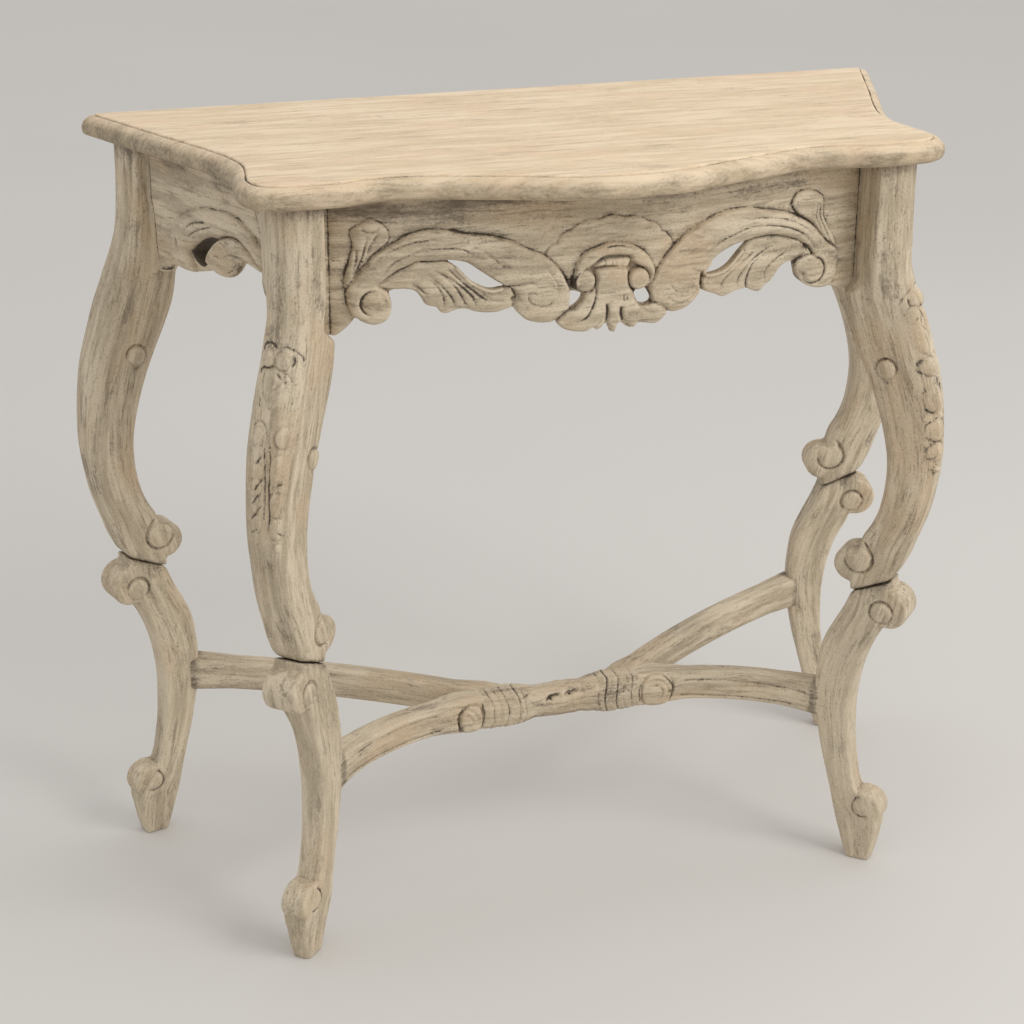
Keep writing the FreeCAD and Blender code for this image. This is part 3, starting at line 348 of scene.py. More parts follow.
class Nodes:
    """A node tree with a short way to add and wire nodes."""

    def __init__(self, name):
        self.material = bpy.data.materials.new(name)
        self.material.use_nodes = True
        self.tree = self.material.node_tree
        self.shader = self.tree.nodes["Principled BSDF"]

    def put(self, socket, value):
        """Wires a socket to another one, or sets its value."""
        if isinstance(value, bpy.types.NodeSocket):
            self.tree.links.new(value, socket)
        else:
            socket.default_value = value

    def add(self, kind, inputs, **settings):
        """Adds a node with its inputs and settings."""
        node = self.tree.nodes.new(kind)
        for key, value in settings.items():
            setattr(node, key, value)
        for key, value in inputs.items():
            self.put(node.inputs[key], value)
        return node

    def attribute(self, name, output):
        """An attribute of the mesh."""
        return self.add("ShaderNodeAttribute", {}, attribute_name=name).outputs[output]

    def sums(self, operation, a, b, clamp=False):
        """A sum, a product or the like of two values."""
        return self.add("ShaderNodeMath", {0: a, 1: b}, operation=operation, use_clamp=clamp).outputs[0]

    def noise(self, vector, along, across, detail=3.0, rough=0.55):
        """Noise with one scale along the grain and another across it."""
        inputs = {0: vector, 1: (along, across, across)}
        stretched = self.add("ShaderNodeVectorMath", inputs, operation="MULTIPLY").outputs[0]
        inputs = {"Vector": stretched, "Scale": 1.0, "Detail": detail, "Roughness": rough}
        return self.add("ShaderNodeTexNoise", inputs).outputs[0]

    def span(self, value, low, high, start=0.0, end=1.0):
        """A value taken smoothly from one range to another."""
        inputs = {"Value": value, 1: low, 2: high, 3: start, 4: end}
        return self.add("ShaderNodeMapRange", inputs, interpolation_type="SMOOTHSTEP").outputs[0]

    def mix(self, share, a, b):
        """A mix of two colours."""
        node = self.add("ShaderNodeMix", {}, data_type="RGBA")
        for socket, value in zip((node.inputs[0], node.inputs[6], node.inputs[7]), (share, a, b)):
            self.put(socket, value)
        return node.outputs[2]

    def blend(self, *terms):
        """Sum of noises, each taken about its middle and weighted."""
        total = 0.0
        for value, weight in terms:
            about = self.sums("SUBTRACT", value, 0.5)
            total = self.sums("ADD", total, self.sums("MULTIPLY", about, weight))
        return total


def wood(name, colours, wear, rough, veil, rag):
    """Limed wood: streaks and pores along the grain, smudges, edges made paler as wear and painted
    highlight, painted shade in hollows and under things, and dark lines of dirt and painted shadow in the
    carving.
    """
    pale, middle, warm, line, dirt, smudge_and_shade = (tone(code) for code in colours)
    n = Nodes(name)
    grain = n.attribute("grain", "Vector")
    dirt_and_shadow_fac, shade, hollow = (n.attribute(label, "Fac") for label in ("dirt", "shade", "hollow"))
    sway = n.noise(grain, 5.0, 30.0, 2.0)
    inputs = {0: (0.0, 0.014, 0.014), "Scale": sway}
    shift = n.add("ShaderNodeVectorMath", inputs, operation="SCALE").outputs[0]
    along = n.add("ShaderNodeVectorMath", {0: grain, 1: shift}, operation="ADD").outputs[0]
    broad = n.noise(along, 7.0, 75.0, 4.0, 0.6)
    streak = n.noise(along, 16.0, 230.0, 4.0, 0.65)
    pores = n.noise(along, 55.0, 420.0, 3.0, 0.6)
    lime = n.noise(along, 60.0, 240.0, 4.0, 0.7)
    patch = n.noise(grain, 10.0, 16.0, 3.0, 0.55)
    wash = n.noise(grain, 22.0, 46.0, 5.0, 0.65)
    speck = n.noise(grain, 330.0, 420.0, 3.0, 0.7)
    places = n.noise(grain, 13.0, 24.0, 3.0, 0.6)
    grit = n.noise(grain, 520.0, 900.0, 2.0, 0.6)

    # bare wood: streaks, lime in the grain and clouds, then paler wood where the shade attribute is below 0:
    # painted light on the lower legs, and the paler ribbed strip under the arch
    colour = n.mix(n.span(broad, 0.4, 0.6), pale, middle)
    colour = n.mix(n.span(patch, 0.5, 0.66, 0.0, 0.6), colour, warm)
    colour = n.mix(n.span(streak, 0.5, 0.66, 0.0, 0.45), colour, line)
    colour = n.mix(n.span(lime, 0.53, 0.66, 0.0, 0.55), colour, pale)
    cloud = n.blend((wash, 1.0), (streak, 0.5), (speck, 0.45))
    colour = n.mix(n.span(cloud, 0.05, 0.26, 0.0, 0.75 * wear), colour, smudge_and_shade)
    colour = n.mix(n.span(shade, -0.05, -1.0, 0.0, 0.85), colour, pale)

    # pores, flecks and grit, then sharp edges made paler: rubbed wear and a painted highlight
    open_grain = n.span(places, 0.42, 0.62, 0.15, 1.0)
    dashes = n.sums("MULTIPLY", n.span(pores, 0.57, 0.66, 0.0, 0.7 * wear), open_grain)
    colour = n.mix(dashes, colour, line)
    flecks = n.sums("MULTIPLY", n.span(speck, 0.61, 0.7, 0.0, 0.6 * wear), open_grain)
    colour = n.mix(flecks, colour, dirt)
    colour = n.mix(n.span(grit, 0.52, 0.72, 0.0, 0.5 * wear), colour, line)
    colour = n.mix(n.span(grit, 0.46, 0.3, 0.0, 0.4 * wear), colour, pale)
    edge = n.sums("MULTIPLY", n.span(hollow, -0.15, -0.8, 0.0, 0.6), n.span(lime, 0.36, 0.56, 0.2, 1.0))
    colour = n.mix(edge, colour, pale)

    # painted shade in the hollows and wherever the shade attribute is set, which also holds some grime, and
    # dark lines of dirt and painted shadow, broken up by the grain
    ragged = n.blend((wash, 1.3), (speck, 1.1), (streak, 0.5))
    colour = n.mix(n.sums("MULTIPLY", shade, veil, clamp=True), colour, smudge_and_shade)
    soft = n.span(n.sums("ADD", shade, n.sums("MULTIPLY", ragged, rag)), 0.22, 0.85)
    soft = n.sums("MULTIPLY", soft, n.span(shade, 0.02, 0.3))
    # painted shade in creases, taken from the bend of the skin
    painted_crease_shade = n.sums("MULTIPLY", n.span(hollow, 0.1, 0.8, 0.0, 0.7), n.span(ragged, -0.25, 0.2, 0.2, 1.0))
    darkened = n.sums("MAXIMUM", soft, painted_crease_shade)
    shade_and_grime = n.sums("MULTIPLY", darkened, n.span(lime, 0.34, 0.6, 1.1, 0.55), clamp=True)
    colour = n.mix(shade_and_grime, colour, smudge_and_shade)
    broken = n.sums("ADD", dirt_and_shadow_fac, n.blend((speck, 0.9), (wash, 1.0)))
    darken = n.span(broken, 0.38, 0.8, 0.0, 0.88)
    darken = n.sums("MULTIPLY", darken, n.span(dirt_and_shadow_fac, 0.08, 0.3))
    colour = n.mix(darken, colour, dirt)

    n.put(n.shader.inputs["Base Color"], colour)
    n.shader.inputs["Roughness"].default_value = rough
    n.shader.inputs["Specular IOR Level"].default_value = 0.25
    height = n.sums("ADD", n.sums("MULTIPLY", streak, 0.7), n.sums("MULTIPLY", lime, 0.6))
    height = n.sums("ADD", height, n.sums("MULTIPLY", n.sums("ADD", dashes, flecks), -0.35))
    bump = n.add("ShaderNodeBump", {"Strength": 0.55, "Distance": 0.0015, "Height": height})
    n.put(n.shader.inputs["Normal"], bump.outputs[0])
    return n.material


def plain(name, pale, dark, metal, rough):
    """A quiet material for the hidden blocks, dowels and screws, from their own coordinates."""
    n = Nodes(name)
    place = n.add("ShaderNodeTexCoord", {}).outputs["Object"]
    streak = n.noise(place, 14.0, 160.0, 4.0)
    n.put(n.shader.inputs["Base Color"], n.mix(n.span(streak, 0.35, 0.68), tone(pale), tone(dark)))
    n.shader.inputs["Roughness"].default_value = rough
    n.shader.inputs["Metallic"].default_value = metal
    return n.material


# Colours of each wood: pale, middle, warm, line, dirt and shadow lines, and smudge and painted shade.
WOODS = {
    "frame_wood": wood(
        "frame_limed_wood",
        ("d4c6ae", "b4a68f", "c5ad8e", "877863", "3b332b", "766b5d"),
        wear=0.9,
        rough=0.65,
        veil=0.12,
        rag=1.0,
    ),
    "top_wood": wood(
        "top_limed_wood",
        ("ead6b9", "dac4a4", "e2c6a8", "b9a185", "57493c", "8a7e69"),
        wear=0.4,
        rough=0.55,
        veil=0.42,
        rag=0.4,
    ),
}
INNER_WOOD = plain("inner_plain_wood", "b39b78", "8f7657", metal=0.0, rough=0.8)
SCREW_STEEL = plain("screw_dull_steel", "8f8c86", "66635d", metal=0.9, rough=0.45)


# Top: three boards cut from one moulded sheet.

TOP_UNDER = 778.0
TOP_BACK = 206.0
TOP_HALF = [
    (440, 206), (393.5, 92), (369.5, 36), (357, 5), (348, -22), (343, -54), (347, -85), (351.5, -113),
    (349, -133), (341, -147), (326, -157), (310, -160), (275.5, -161), (257, -159.5), (236, -153.5),
    (211, -150.5), (184, -155), (157, -164), (105.5, -181), (56, -199), (0, -206),
]
# Inset from the rim and level of each row of the edge, from the underside over the bead line to the face.
TOP_PROFILE = [
    (20, 778), (8, 778), (5, 778.4), (2.4, 779.8), (0.8, 782), (0.1, 785), (0.1, 787.5), (0.8, 790.5),
    (2.4, 793.6), (4.8, 796), (7.6, 797.7), (10.2, 798.4), (11.1, 798.2), (11.7, 797.2), (12.3, 797.2),
    (12.9, 799.2), (13.8, 799.9), (16, 800), (20, 800),
]
BEAD_LINE = (11.0, 12.5)
CORNER_RUN = 80.0
FLAT_ANGLE = math.radians(40)


def top_rim():
    """Rim of the top from one back corner to the other, its inward directions and the distance along it."""
    half = curve(TOP_HALF, step=4)
    rim = np.vstack([half, half[-2::-1] * (-1, 1)])
    along = headings(rim)
    inward = np.column_stack([along[:, 1], -along[:, 0]])
    travel = travelled(rim)
    # towards the back corners the inset turns parallel to the straight back edge
    turned = ramp(np.minimum(travel, travel[-1] - travel), 0, CORNER_RUN)[:, None]
    ends = turned[:, 0] < 1
    level_in = np.column_stack([1 / inward[ends, 0], np.zeros(ends.sum())])
    inward[ends] = inward[ends] * turned[ends] + level_in * (1 - turned[ends])
    return rim, inward, travel


def top_faces(rows):
    """Faces between the rows of the edge, over the underside and the face, and along the back."""
    width = len(rows[0])
    faces = []
    for r in range(len(rows) - 1):
        for k in range(width - 1):
            a = r * width + k
            faces.append([a, a + 1, a + width + 1, a + width])
    edges = [(k, (k + 1) % width) for k in range(width)]
    for r in (0, len(rows) - 1):
        plan = [Vector(p) for p in rows[r][:, :2]]
        _, _, panels, source, _, _ = delaunay_2d_cdt(plan, edges, [], 1, 1e-4)
        faces += [[r * width + source[k][0] for k in panel] for panel in panels]
    first = [r * width for r in range(len(rows))]
    faces.append(first + [k + width - 1 for k in first[::-1]])
    return faces


def top_sheet():
    """Points, faces, dark bead line and shade of the whole top, before it is cut into boards."""
    rim, inward, travel = top_rim()
    rows, dirt, shade = [], [], []
    for inset, level in TOP_PROFILE:
        row = rim + inward * inset
        wear = ramp(14 - inset, 0, 6) * ramp(level - TOP_UNDER, 0, 5)
        push = wear * (0.35 * ripple(travel, level, 38, 3) + 0.25 * ripple(travel, level, 13, 4))
        push[[0, -1]] = 0
        row = row + inward * np.maximum(push, -0.1)[:, None]
        row[:, 1] = np.minimum(row[:, 1], TOP_BACK)
        rows.append(np.column_stack([row, np.full(len(row), level)]))
        blotch = ripple(travel, level * 2, 90, 5) + 0.7 * ripple(travel, level, 31, 6)
        in_bead = BEAD_LINE[0] < inset < BEAD_LINE[1]
        dirt.append((0.75 + 0.2 * blotch - 0.15 * ramp(row[:, 0], -250, 350)) * in_bead)
        dirt[-1][[0, -1]] = 0
        left = ramp(-row[:, 0], 150, 330) * ramp(row[:, 1] + 150, -20, 60)
        # the moulded edge is painted darker than the face and darker towards its underside: grime mottles
        # and painted shade
        edge_grime_and_shade = 0.36 * (inset < BEAD_LINE[0]) + 0.3 * ramp(797 - level, 0, 7) * (inset < 9)
        shade.append(edge_grime_and_shade * (0.82 + 0.14 * blotch + 0.25 * left))
    return np.vstack(rows), top_faces(rows), np.concatenate(dirt), np.concatenate(shade)


def cut_board(points, faces, low, high):
    """Points and faces of the part of a closed mesh between two planes across Y."""
    mesh = bpy.data.meshes.new("board_cut")
    mesh.from_pydata(points.tolist(), [], faces)
    work = bmesh.new()
    work.from_mesh(mesh)
    bmesh.ops.recalc_face_normals(work, faces=work.faces)
    for level, side in ((low, -1), (high, 1)):
        everything = work.verts[:] + work.edges[:] + work.faces[:]
        cut = bmesh.ops.bisect_plane(
            work, geom=everything, plane_co=(0, level, 0), plane_no=(0, side, 0), clear_outer=True
        )
        rim = [e for e in cut["geom_cut"] if isinstance(e, bmesh.types.BMEdge)]
        if rim:
            bmesh.ops.contextual_create(work, geom=rim)
    work.verts.index_update()
    placed = np.array([v.co[:] for v in work.verts])
    sides = [[v.index for v in face.verts] for face in work.faces]
    work.free()
    bpy.data.meshes.remove(mesh)
    return placed, sides


def build_top():
    """The three boards, cut where the CAD boards meet."""
    points, faces, dirt, shade = top_sheet()
    for board in ("front", "middle", "back"):
        node = f"top_board_{board}"
        low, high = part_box(node)
        placed, sides = cut_board(points, faces, low[1] / MM, high[1] / MM)
        near = np.array([np.argmin(np.square(points - p).sum(1)) for p in placed])
        piece = add_piece(node, "top_wood", placed, sides, dirt[near], shade[near], placed)
        piece.data.set_sharp_from_angle(angle=FLAT_ANGLE)


# Legs. Each half is drawn in its own plane: s runs outwards, w across and z up.

LEGS = {
    "front": {"axis": (297.0, -118.0), "turn": -45.0},
    "back": {"axis": (395.0, 170.0), "turn": -15.0},
}
LEG_STEP = 1.2
LEG_TOP = TOP_UNDER
LEG_SPAN = (-56, 92)
UPPER_SPAN = (306, 786)
LOWER_SPAN = (-8, 352)
ORNAMENT_SPAN = (-40, 40)
WAIST = (-3.0, 320.0)
WAIST_TILT = math.radians(22.5)
WAIST_GAP = 0.35

# Posts at the heads of the legs. A post sinks into its leg: lowest level, depth, start and height of that.
FRONT_POST = (297.0, -109.0)
FRONT_POST_HALF = (25.0, 34.0)
FRONT_CORNER = 18.0
OTHER_CORNER = 3.0
POST_INNER = 275.5
BACK_POST = (-40.0, 9.5)
BACK_POST_HALF = 23.0
POST_SINK = {"front": (628.0, 18.0, 700.0, 75.0), "back": (650.0, 6.0, 690.0, 40.0)}
JOINT_FOOT = 660.0
JOINT_FADE = 60.0

# Edges of the halves, as places out from the leg's axis and levels, and their widths by level.
LEG_HEAD = {
    "front": [(18, 782), (18, 765), (19, 730), (22, 700), (28, 670)],
    "back": [(11, 782), (11, 765), (12.5, 730), (17, 700), (26, 670)],
}
UPPER_OUTER = [
    (38, 640), (49, 614), (57, 590), (64.5, 565), (70, 540), (73.5, 515), (75, 490), (75, 465), (72, 440),
    (67, 415), (61, 395), (55, 378), (50, 363), (44, 350), (37, 332), (30, 318),
]
UPPER_INNER = [
    (-6, 318), (-5, 340), (0, 366), (5, 384), (12, 396), (19.5, 415), (23.5, 440), (24, 465), (20.5, 490),
    (14, 515), (5, 540), (-6, 565), (-18, 590), (-28, 614), (-33, 640), (-33, 660), (-32, 700), (-31, 782),
]
LOWER_OUTER = [
    (40, 345), (38, 330), (36, 300), (31, 284), (28, 274), (21, 260), (15, 245), (10, 229), (7, 214),
    (5, 198), (4, 182), (4.3, 166), (5, 150), (6.5, 134), (8.5, 118), (11, 102), (15, 88), (26, 68),
    (42, 50), (41, 34), (38, 16), (34.5, 0), (34, -4),
]
LOWER_INNER = [
    (8, -4), (8, 0), (4, 14), (-2, 36), (-9, 62), (-16, 88), (-19.5, 102), (-24, 118), (-28, 134),
    (-31.5, 150), (-35, 166), (-36.5, 182), (-37.5, 198), (-37.5, 214), (-36, 229), (-34, 245), (-30, 260),
    (-23, 276), (-15, 291), (-8, 305), (-3, 320), (0, 340),
]
LEG_WIDTH = {
    "upper": [
        (318, 34), (335, 36), (350, 39), (380, 40), (420, 43.5), (500, 47.5), (560, 49.5), (640, 47.5),
        (700, 46.5), (790, 46),
    ],
    "lower": [
        (-5, 20), (0, 20), (30, 24), (50, 29), (64, 31), (84, 28), (120, 26.5), (250, 28.5), (285, 35.5),
        (306, 40), (337, 36),
    ],
}

# Scrolls with their radii, eyes of the scrolls, the small eye of each leg, painted light on the lower legs,
# and the dark line painted at the waist joint, which is partly painted shadow.
SCROLLS = {"upper": [((-5.0, 349.0), 20.0)], "lower": [((37.0, 306.0), 22.0), ((26.0, 64.0), 20.5)]}
INNER_EYE = (3.0, 358.0)
OUTER_EYE = (32.0, 302.0)
FOOT_EYE = (26.0, 66.0)
EYE_PLACE = 20.0
EYE_LEVEL = {"front_right": 570.0, "front_left": 541.0, "back_right": 563.0, "back_left": 563.0}
PAINTED_FOOT_LIGHT = {"front_right": 0.5, "front_left": 0.3, "back_right": 0.2, "back_left": 0.2}
WAIST_LINE_AND_SHADOW = {"front": 0.85, "back": 0.65}

# Lines on the outer face of a front leg, each with how dark it is painted.
FRONT_LEG_LINES = [
    # hoods over the two bosses, the shadow under the left one and the edge of the carving
    ([(-18, 643), (-16, 650), (-10, 653), (-5, 651), (-1, 647)], 0.9),
    ([(-1, 648), (5, 651), (12, 650), (18, 647), (23, 640), (24, 632), (26, 620)], 0.8),
    ([(-1, 634), (-8, 631), (-14, 631), (-17, 624)], 0.9),
    # hatching on the egg and its left edge
    ([(-1, 630), (14, 619), (6, 610)], 0.7),
    ([(10, 630), (13, 620)], 0.7),
    ([(3, 629), (9, 621), (0, 612)], 0.5),
    ([(12, 630), (22, 617)], 0.7),
    ([(-12, 627), (-10, 614), (-5, 605), (1, 599)], 0.5),
    ([(-12, 607), (-11, 596)], 0.8),
    # arch over the oval and the two long lines under it
    ([(-14, 572), (-14, 581), (-11, 585), (-7, 585), (-2, 581), (1, 572), (2, 556)], 0.7),
    ([(-2, 569), (2, 543), (3, 515), (1, 488)], 0.9),
    ([(2, 577), (7, 553), (7, 525), (8, 497), (6, 482)], 0.9),
    # husks
    ([(-2, 556), (-9, 545)], 0.9),
    ([(0, 535), (-9, 521)], 0.9),
    ([(-3, 520), (-11, 508)], 0.9),
    ([(0, 510), (-12, 493)], 0.95),
    ([(-4, 487), (-12, 480)], 0.7),
    # marks of wear
    ([(19, 606), (23, 595)], 0.7),
    ([(15, 488), (19, 482), (27, 479), (29, 471)], 0.7),
]
# Middle and reach of each bell, and how far the chain of bells stands out on each front leg.
BELLS = [((16, 543), (8.5, 15)), ((16, 511), (8, 12)), ((15, 488), (7.5, 10.5)), ((16, 469), (3.2, 4.5))]
CHAIN = {"right": 1.0, "left": 0.1}


def waist_height(s, z):
    """Distance above the joint between the two halves of a leg."""
    return (z - WAIST[1]) * math.cos(WAIST_TILT) - (s - WAIST[0]) * math.sin(WAIST_TILT)


def upper_side(eye_level):
    """Carving on the side faces of an upper leg half."""
    sheet = Sheet(LEG_SPAN, UPPER_SPAN, LEG_STEP)
    eye = (EYE_PLACE, eye_level)
    sheet.dome(INNER_EYE, (14, 14), 1.6, 0.4, line=0.0)
    sheet.coil(INNER_EYE, (16, 14.5), 62, -178, 1.6, 2.6, 0.85, fade=0.12)
    sheet.groove([(8, 379), (12, 374), (17, 366)], 2.0, 2.2, 0.8)
    sheet.dome(eye, (10, 10), 2.4, 0.8, line=0.25)
    sheet.coil(eye, (11, 10.5), 215, -20, 1.5, 2.2, 0.85, fade=0.12)
    sheet.hollow((21, eye_level - 14), 3.0, 1.4, 0.7)
    sheet.groove([(15, eye_level - 11), (20, eye_level - 14), (26, eye_level - 11)], 1.4, 1.2, 0.55)
    sheet.height += 0.35 * ripple(sheet.u[:, None], sheet.v[None, :], 46, 21)
    return sheet


def lower_side():
    """Carving on the side faces of a lower leg half."""
    sheet = Sheet(LEG_SPAN, LOWER_SPAN, LEG_STEP)
    sheet.dome(OUTER_EYE, (11.5, 11.5), 1.2, 0.3, line=0.0)
    sheet.coil(OUTER_EYE, (12, 13.5), 8, 228, 1.6, 2.6, 0.95, fade=0.1)
    sheet.coil(FOOT_EYE, (13.0, 10.5), 105, 310, 1.5, 2.2, 0.95, fade=0.12)
    sheet.hollow((18, 78), 3.0, 0.8, 0.6)
    sheet.height += 0.3 * ripple(sheet.u[:, None], sheet.v[None, :], 46, 22)
    return sheet


def front_ornament(chain):
    """Bosses, an egg with hatching, an oval, husks and a chain of bells on the outer face of a front leg."""
    sheet = Sheet(ORNAMENT_SPAN, UPPER_SPAN, LEG_STEP)
    egg = [(-9, 629), (-10, 615), (-6, 604), (1, 597), (9, 599), (14, 610), (15, 622), (4, 632)]
    sheet.cushion(egg, 2.6, 8, 0.0, 0.15)
    for level in (556, 540, 525, 508, 490):
        sheet.dome((-7, level), (6, 8.5), 0.9, 0.0, 0.05)
    sheet.dome((-9, 640), (8, 8), 3.6, 0.4, 0.3)
    sheet.dome((7.5, 639.5), (8.8, 8.8), 3.8, 0.4, 0.3)
    sheet.groove(arc((7.5, 639.5), 9.2, 40, -110), 1.6, 1.6, 0.95, smooth=False)
    sheet.dome((-8, 571), (5, 8.5), 1.8, 0.2, 0.4)
    wide = 1 + 0.6 * chain
    leaf = [(8, 634), (19, 634), (23, 622), (24, 606), (20, 592), (8, 589), (0, 600), (1, 620)]
    sheet.cushion(leaf, 3.5 * chain, 9, 0.0, 0.9 * chain)
    boss = (18 - 6 * chain, 573 + 3 * chain)
    sheet.dome(boss, (8 * wide, 9.5), 3.2 + 2.4 * chain, 0.3, 0.35 + 0.6 * chain)
    sheet.groove(arc((18, 573), 8.8, 110, 255), 1.6, 1.8 * (1 - chain), 0.85 * (1 - chain), smooth=False)
    for (across, level), (reach, tall) in BELLS:
        place = (across - 4 * chain, level)
        sheet.dome(place, (reach * wide, tall), 1.0 + 4.4 * chain, 0.2, 0.1 + 0.9 * chain)
    sheet.hollow((17, 531), 2.6, 1.8, 0.85)
    for line, darken in FRONT_LEG_LINES:
        sheet.groove(line, 1.2, 1.2, darken, fade=0.15)
    return sheet


def leg_edges(end, half):
    """Outer and inner edge of one half of a leg, in its plane."""
    if half == "upper":
        return LEG_HEAD[end] + UPPER_OUTER, UPPER_INNER
    return LOWER_OUTER, LOWER_INNER


def edge_at(edge, z):
    """How far out an edge lies at each height."""
    return table([(level, out) for out, level in edge], z)


def leg_place(end, s, w):
    """X and Y in the right half of the table of a point of a leg's plane."""
    turn = math.radians(LEGS[end]["turn"])
    x, y = LEGS[end]["axis"]
    return x + s * math.cos(turn) + w * math.sin(turn), y + s * math.sin(turn) - w * math.cos(turn)


def leg_outline(end, half, side):
    """Distance outside the outline of one half of a leg, with its scrolls, in its plane."""
    s, z = side.u[:, None], side.v[None, :]
    outer, inner = leg_edges(end, half)
    _, depth = side.depth(np.vstack([curve(outer), curve(inner)]), FAR)
    outline = -depth
    for centre, radius in SCROLLS[half]:
        disc = np.hypot(s - centre[0], z - centre[1]) - radius
        outline = join(outline, disc, 2.5)
    return outline + 0.4 * ripple(s, z, 60, 31)


def post_field(end, s, w, z):
    """Field of the square post that takes the aprons, at the head of a leg. It sinks into the leg below."""
    if end == "back":
        length = np.maximum(s - BACK_POST[1], BACK_POST[0] - s)[:, None]
        post = meet(length, np.abs(w)[None, :] - BACK_POST_HALF, 4.0)
    else:
        x, y = leg_place(end, s[:, None], w[None, :])
        east, south = x - FRONT_POST[0], FRONT_POST[1] - y
        corner = np.where((east > 0) & (south > 0), FRONT_CORNER, OTHER_CORNER)
        width = np.where(east < 0, POST_INNER - x, east - FRONT_POST_HALF[0])
        post = meet(width, np.abs(south) - FRONT_POST_HALF[1], corner)
    foot, sink, start, run = POST_SINK[end]
    post = post[:, :, None] + sink * ramp(start - z, 0, run)
    return meet(post, np.broadcast_to(foot - z, post.shape), 8.0)


def leg_field(end, half, side, ornament):
    """Field of one half of a leg and the axes of its grid."""
    upper = half == "upper"
    s, z = side.u, side.v
    grid_half = 44.0 if upper and end == "front" else 34.0
    w = np.arange(-grid_half, grid_half, LEG_STEP)
    skin = leg_outline(end, half, side)[:, None, :]
    if ornament is not None:
        inset = s[:, None] - edge_at(leg_edges(end, half)[0], z)
        lift = ornament.sample(ornament.height, *np.meshgrid(w, z, indexing="ij"))
        skin = skin - lift * ramp(inset, -15, -8)[:, None, :]
    half_width = table(LEG_WIDTH[half], z) / 2
    flat = np.abs(w)[None, :, None] - half_width - side.height[:, None, :]
    corner = 7.5 + 6.5 * ramp(z, 375, 440) if upper else 4.5
    field = meet(skin, flat, corner)
    gap = waist_height(s[:, None], z)[:, None, :]
    if not upper:
        field = meet(field, WAIST_GAP + gap, 3.5)
        return (s, w, z), meet(field, np.broadcast_to(-z, field.shape), 1.5)
    field = join(field, post_field(end, s, w, z), 12.0)
    if end == "front":
        x, _ = leg_place(end, s[:, None], w)
        past_joint = POST_INNER - x[:, :, None] - JOINT_FADE * ramp(JOINT_FOOT - z, 0, JOINT_FADE)
        field = meet(field, past_joint, 3.0)
    field = meet(field, np.broadcast_to(z - LEG_TOP, field.shape), 0.5)
    roundness = 3.5 + 4.5 * ramp(s, 0, 30)[:, None, None]
    return (s, w, z), meet(field, WAIST_GAP - gap, roundness)


def build_leg(end, name, half, side, ornament):
    """One half of a leg, carved in its plane and set on its side of the table."""
    points, faces = surface(*leg_field(end, half, side, ornament))
    s, w, z = points.T
    outer, inner = (edge_at(edge, z) for edge in leg_edges(end, half))
    flank = ramp(np.abs(w) - table(LEG_WIDTH[half], z) / 2, -4, -1.5)
    dirt, shade = side.dark_marks(s, z, flank)
    if ornament is not None:
        carved_dirt, carved_shade = ornament.dark_marks(w, z, ramp(s - outer, -14, -9))
        dirt = np.maximum(dirt, carved_dirt)
        shade = np.maximum(shade, carved_shade)
    waist = waist_height(s, z)
    # dark line at the waist joint, partly painted shadow, with painted shade round it and painted shade
    # under the top
    dirt = np.maximum(dirt, WAIST_LINE_AND_SHADOW[end] * np.exp(-(waist**2)))
    shade = np.maximum(shade, 0.6 * np.exp(-((waist / 6) ** 2)))
    shade = np.maximum(shade, 0.6 * ramp(z, 752, LEG_TOP))
    # painted light: the lower legs are painted paler towards the feet, as light from the floor
    shade = shade - PAINTED_FOOT_LIGHT[f"{end}_{name}"] * ramp(300 - z, 0, 60)
    x, y = leg_place(end, s, w)
    placed = np.column_stack([SIDES[name] * x, y, z])
    grain = np.column_stack([z, s - 0.5 * (outer + inner), w])
    add_piece(f"{end}_{name}_{half}_leg", "frame_wood", placed, faces, dirt, shade, grain)


def build_legs():
    """The four legs, each in two halves."""
    lower = lower_side()
    for end in LEGS:
        for name in SIDES:
            upper = upper_side(EYE_LEVEL[f"{end}_{name}"])
            ornament = front_ornament(CHAIN[name]) if end == "front" else None
            build_leg(end, name, "upper", upper, ornament)
            build_leg(end, name, "lower", lower, None)


# Front apron, carved on its bowed face: x runs along it and z up.

APRON_STEP = 0.9
APRON_THICK = 17.0
APRON_RIM = 5.0
APRON_ROUND = 2.2
APRON_HALF = 272.0
APRON_BOW = 39.0
APRON_FRONT = -143.0
APRON_REACH = 286.0
APRON_JOINTS = (-264.7, 274.5)
APRON_EDGE = [
    (-288, 782), (-288, 650), (-265, 645), (-259, 645), (-250, 652), (-244, 659), (-241, 662), (-238, 659),
    (-231, 656), (-223, 655), (-215, 658), (-210, 666), (-209, 675), (-211, 684), (-210, 687), (-202, 689),
    (-195, 689), (-187, 686), (-181, 678), (-178, 673), (-169, 671), (-166, 667), (-161, 664), (-148, 668),
    (-141, 668), (-134, 665), (-124, 663), (-113, 663), (-98, 667), (-93, 662), (-84, 654), (-73, 651),
    (-62, 651), (-56, 653), (-54, 648), (-47, 642), (-35, 638), (-25, 639), (-20, 643), (-14, 638),
    (-9, 640), (-5, 645), (1, 634), (5, 645), (10, 644), (16, 639), (22, 637), (28, 641), (36, 640),
    (47, 640), (55, 646), (58, 650), (61, 649), (70, 651), (80, 653), (89, 659), (93, 667), (99, 665),
    (108, 662), (117, 658), (126, 661), (133, 663), (144, 663), (149, 660), (158, 658), (164, 664),
    (172, 668), (177, 675), (183, 681), (192, 684), (196, 683), (198, 676), (201, 667), (209, 660),
    (219, 654), (232, 651), (242, 651), (250, 649), (262, 645), (288, 650), (288, 782),
]
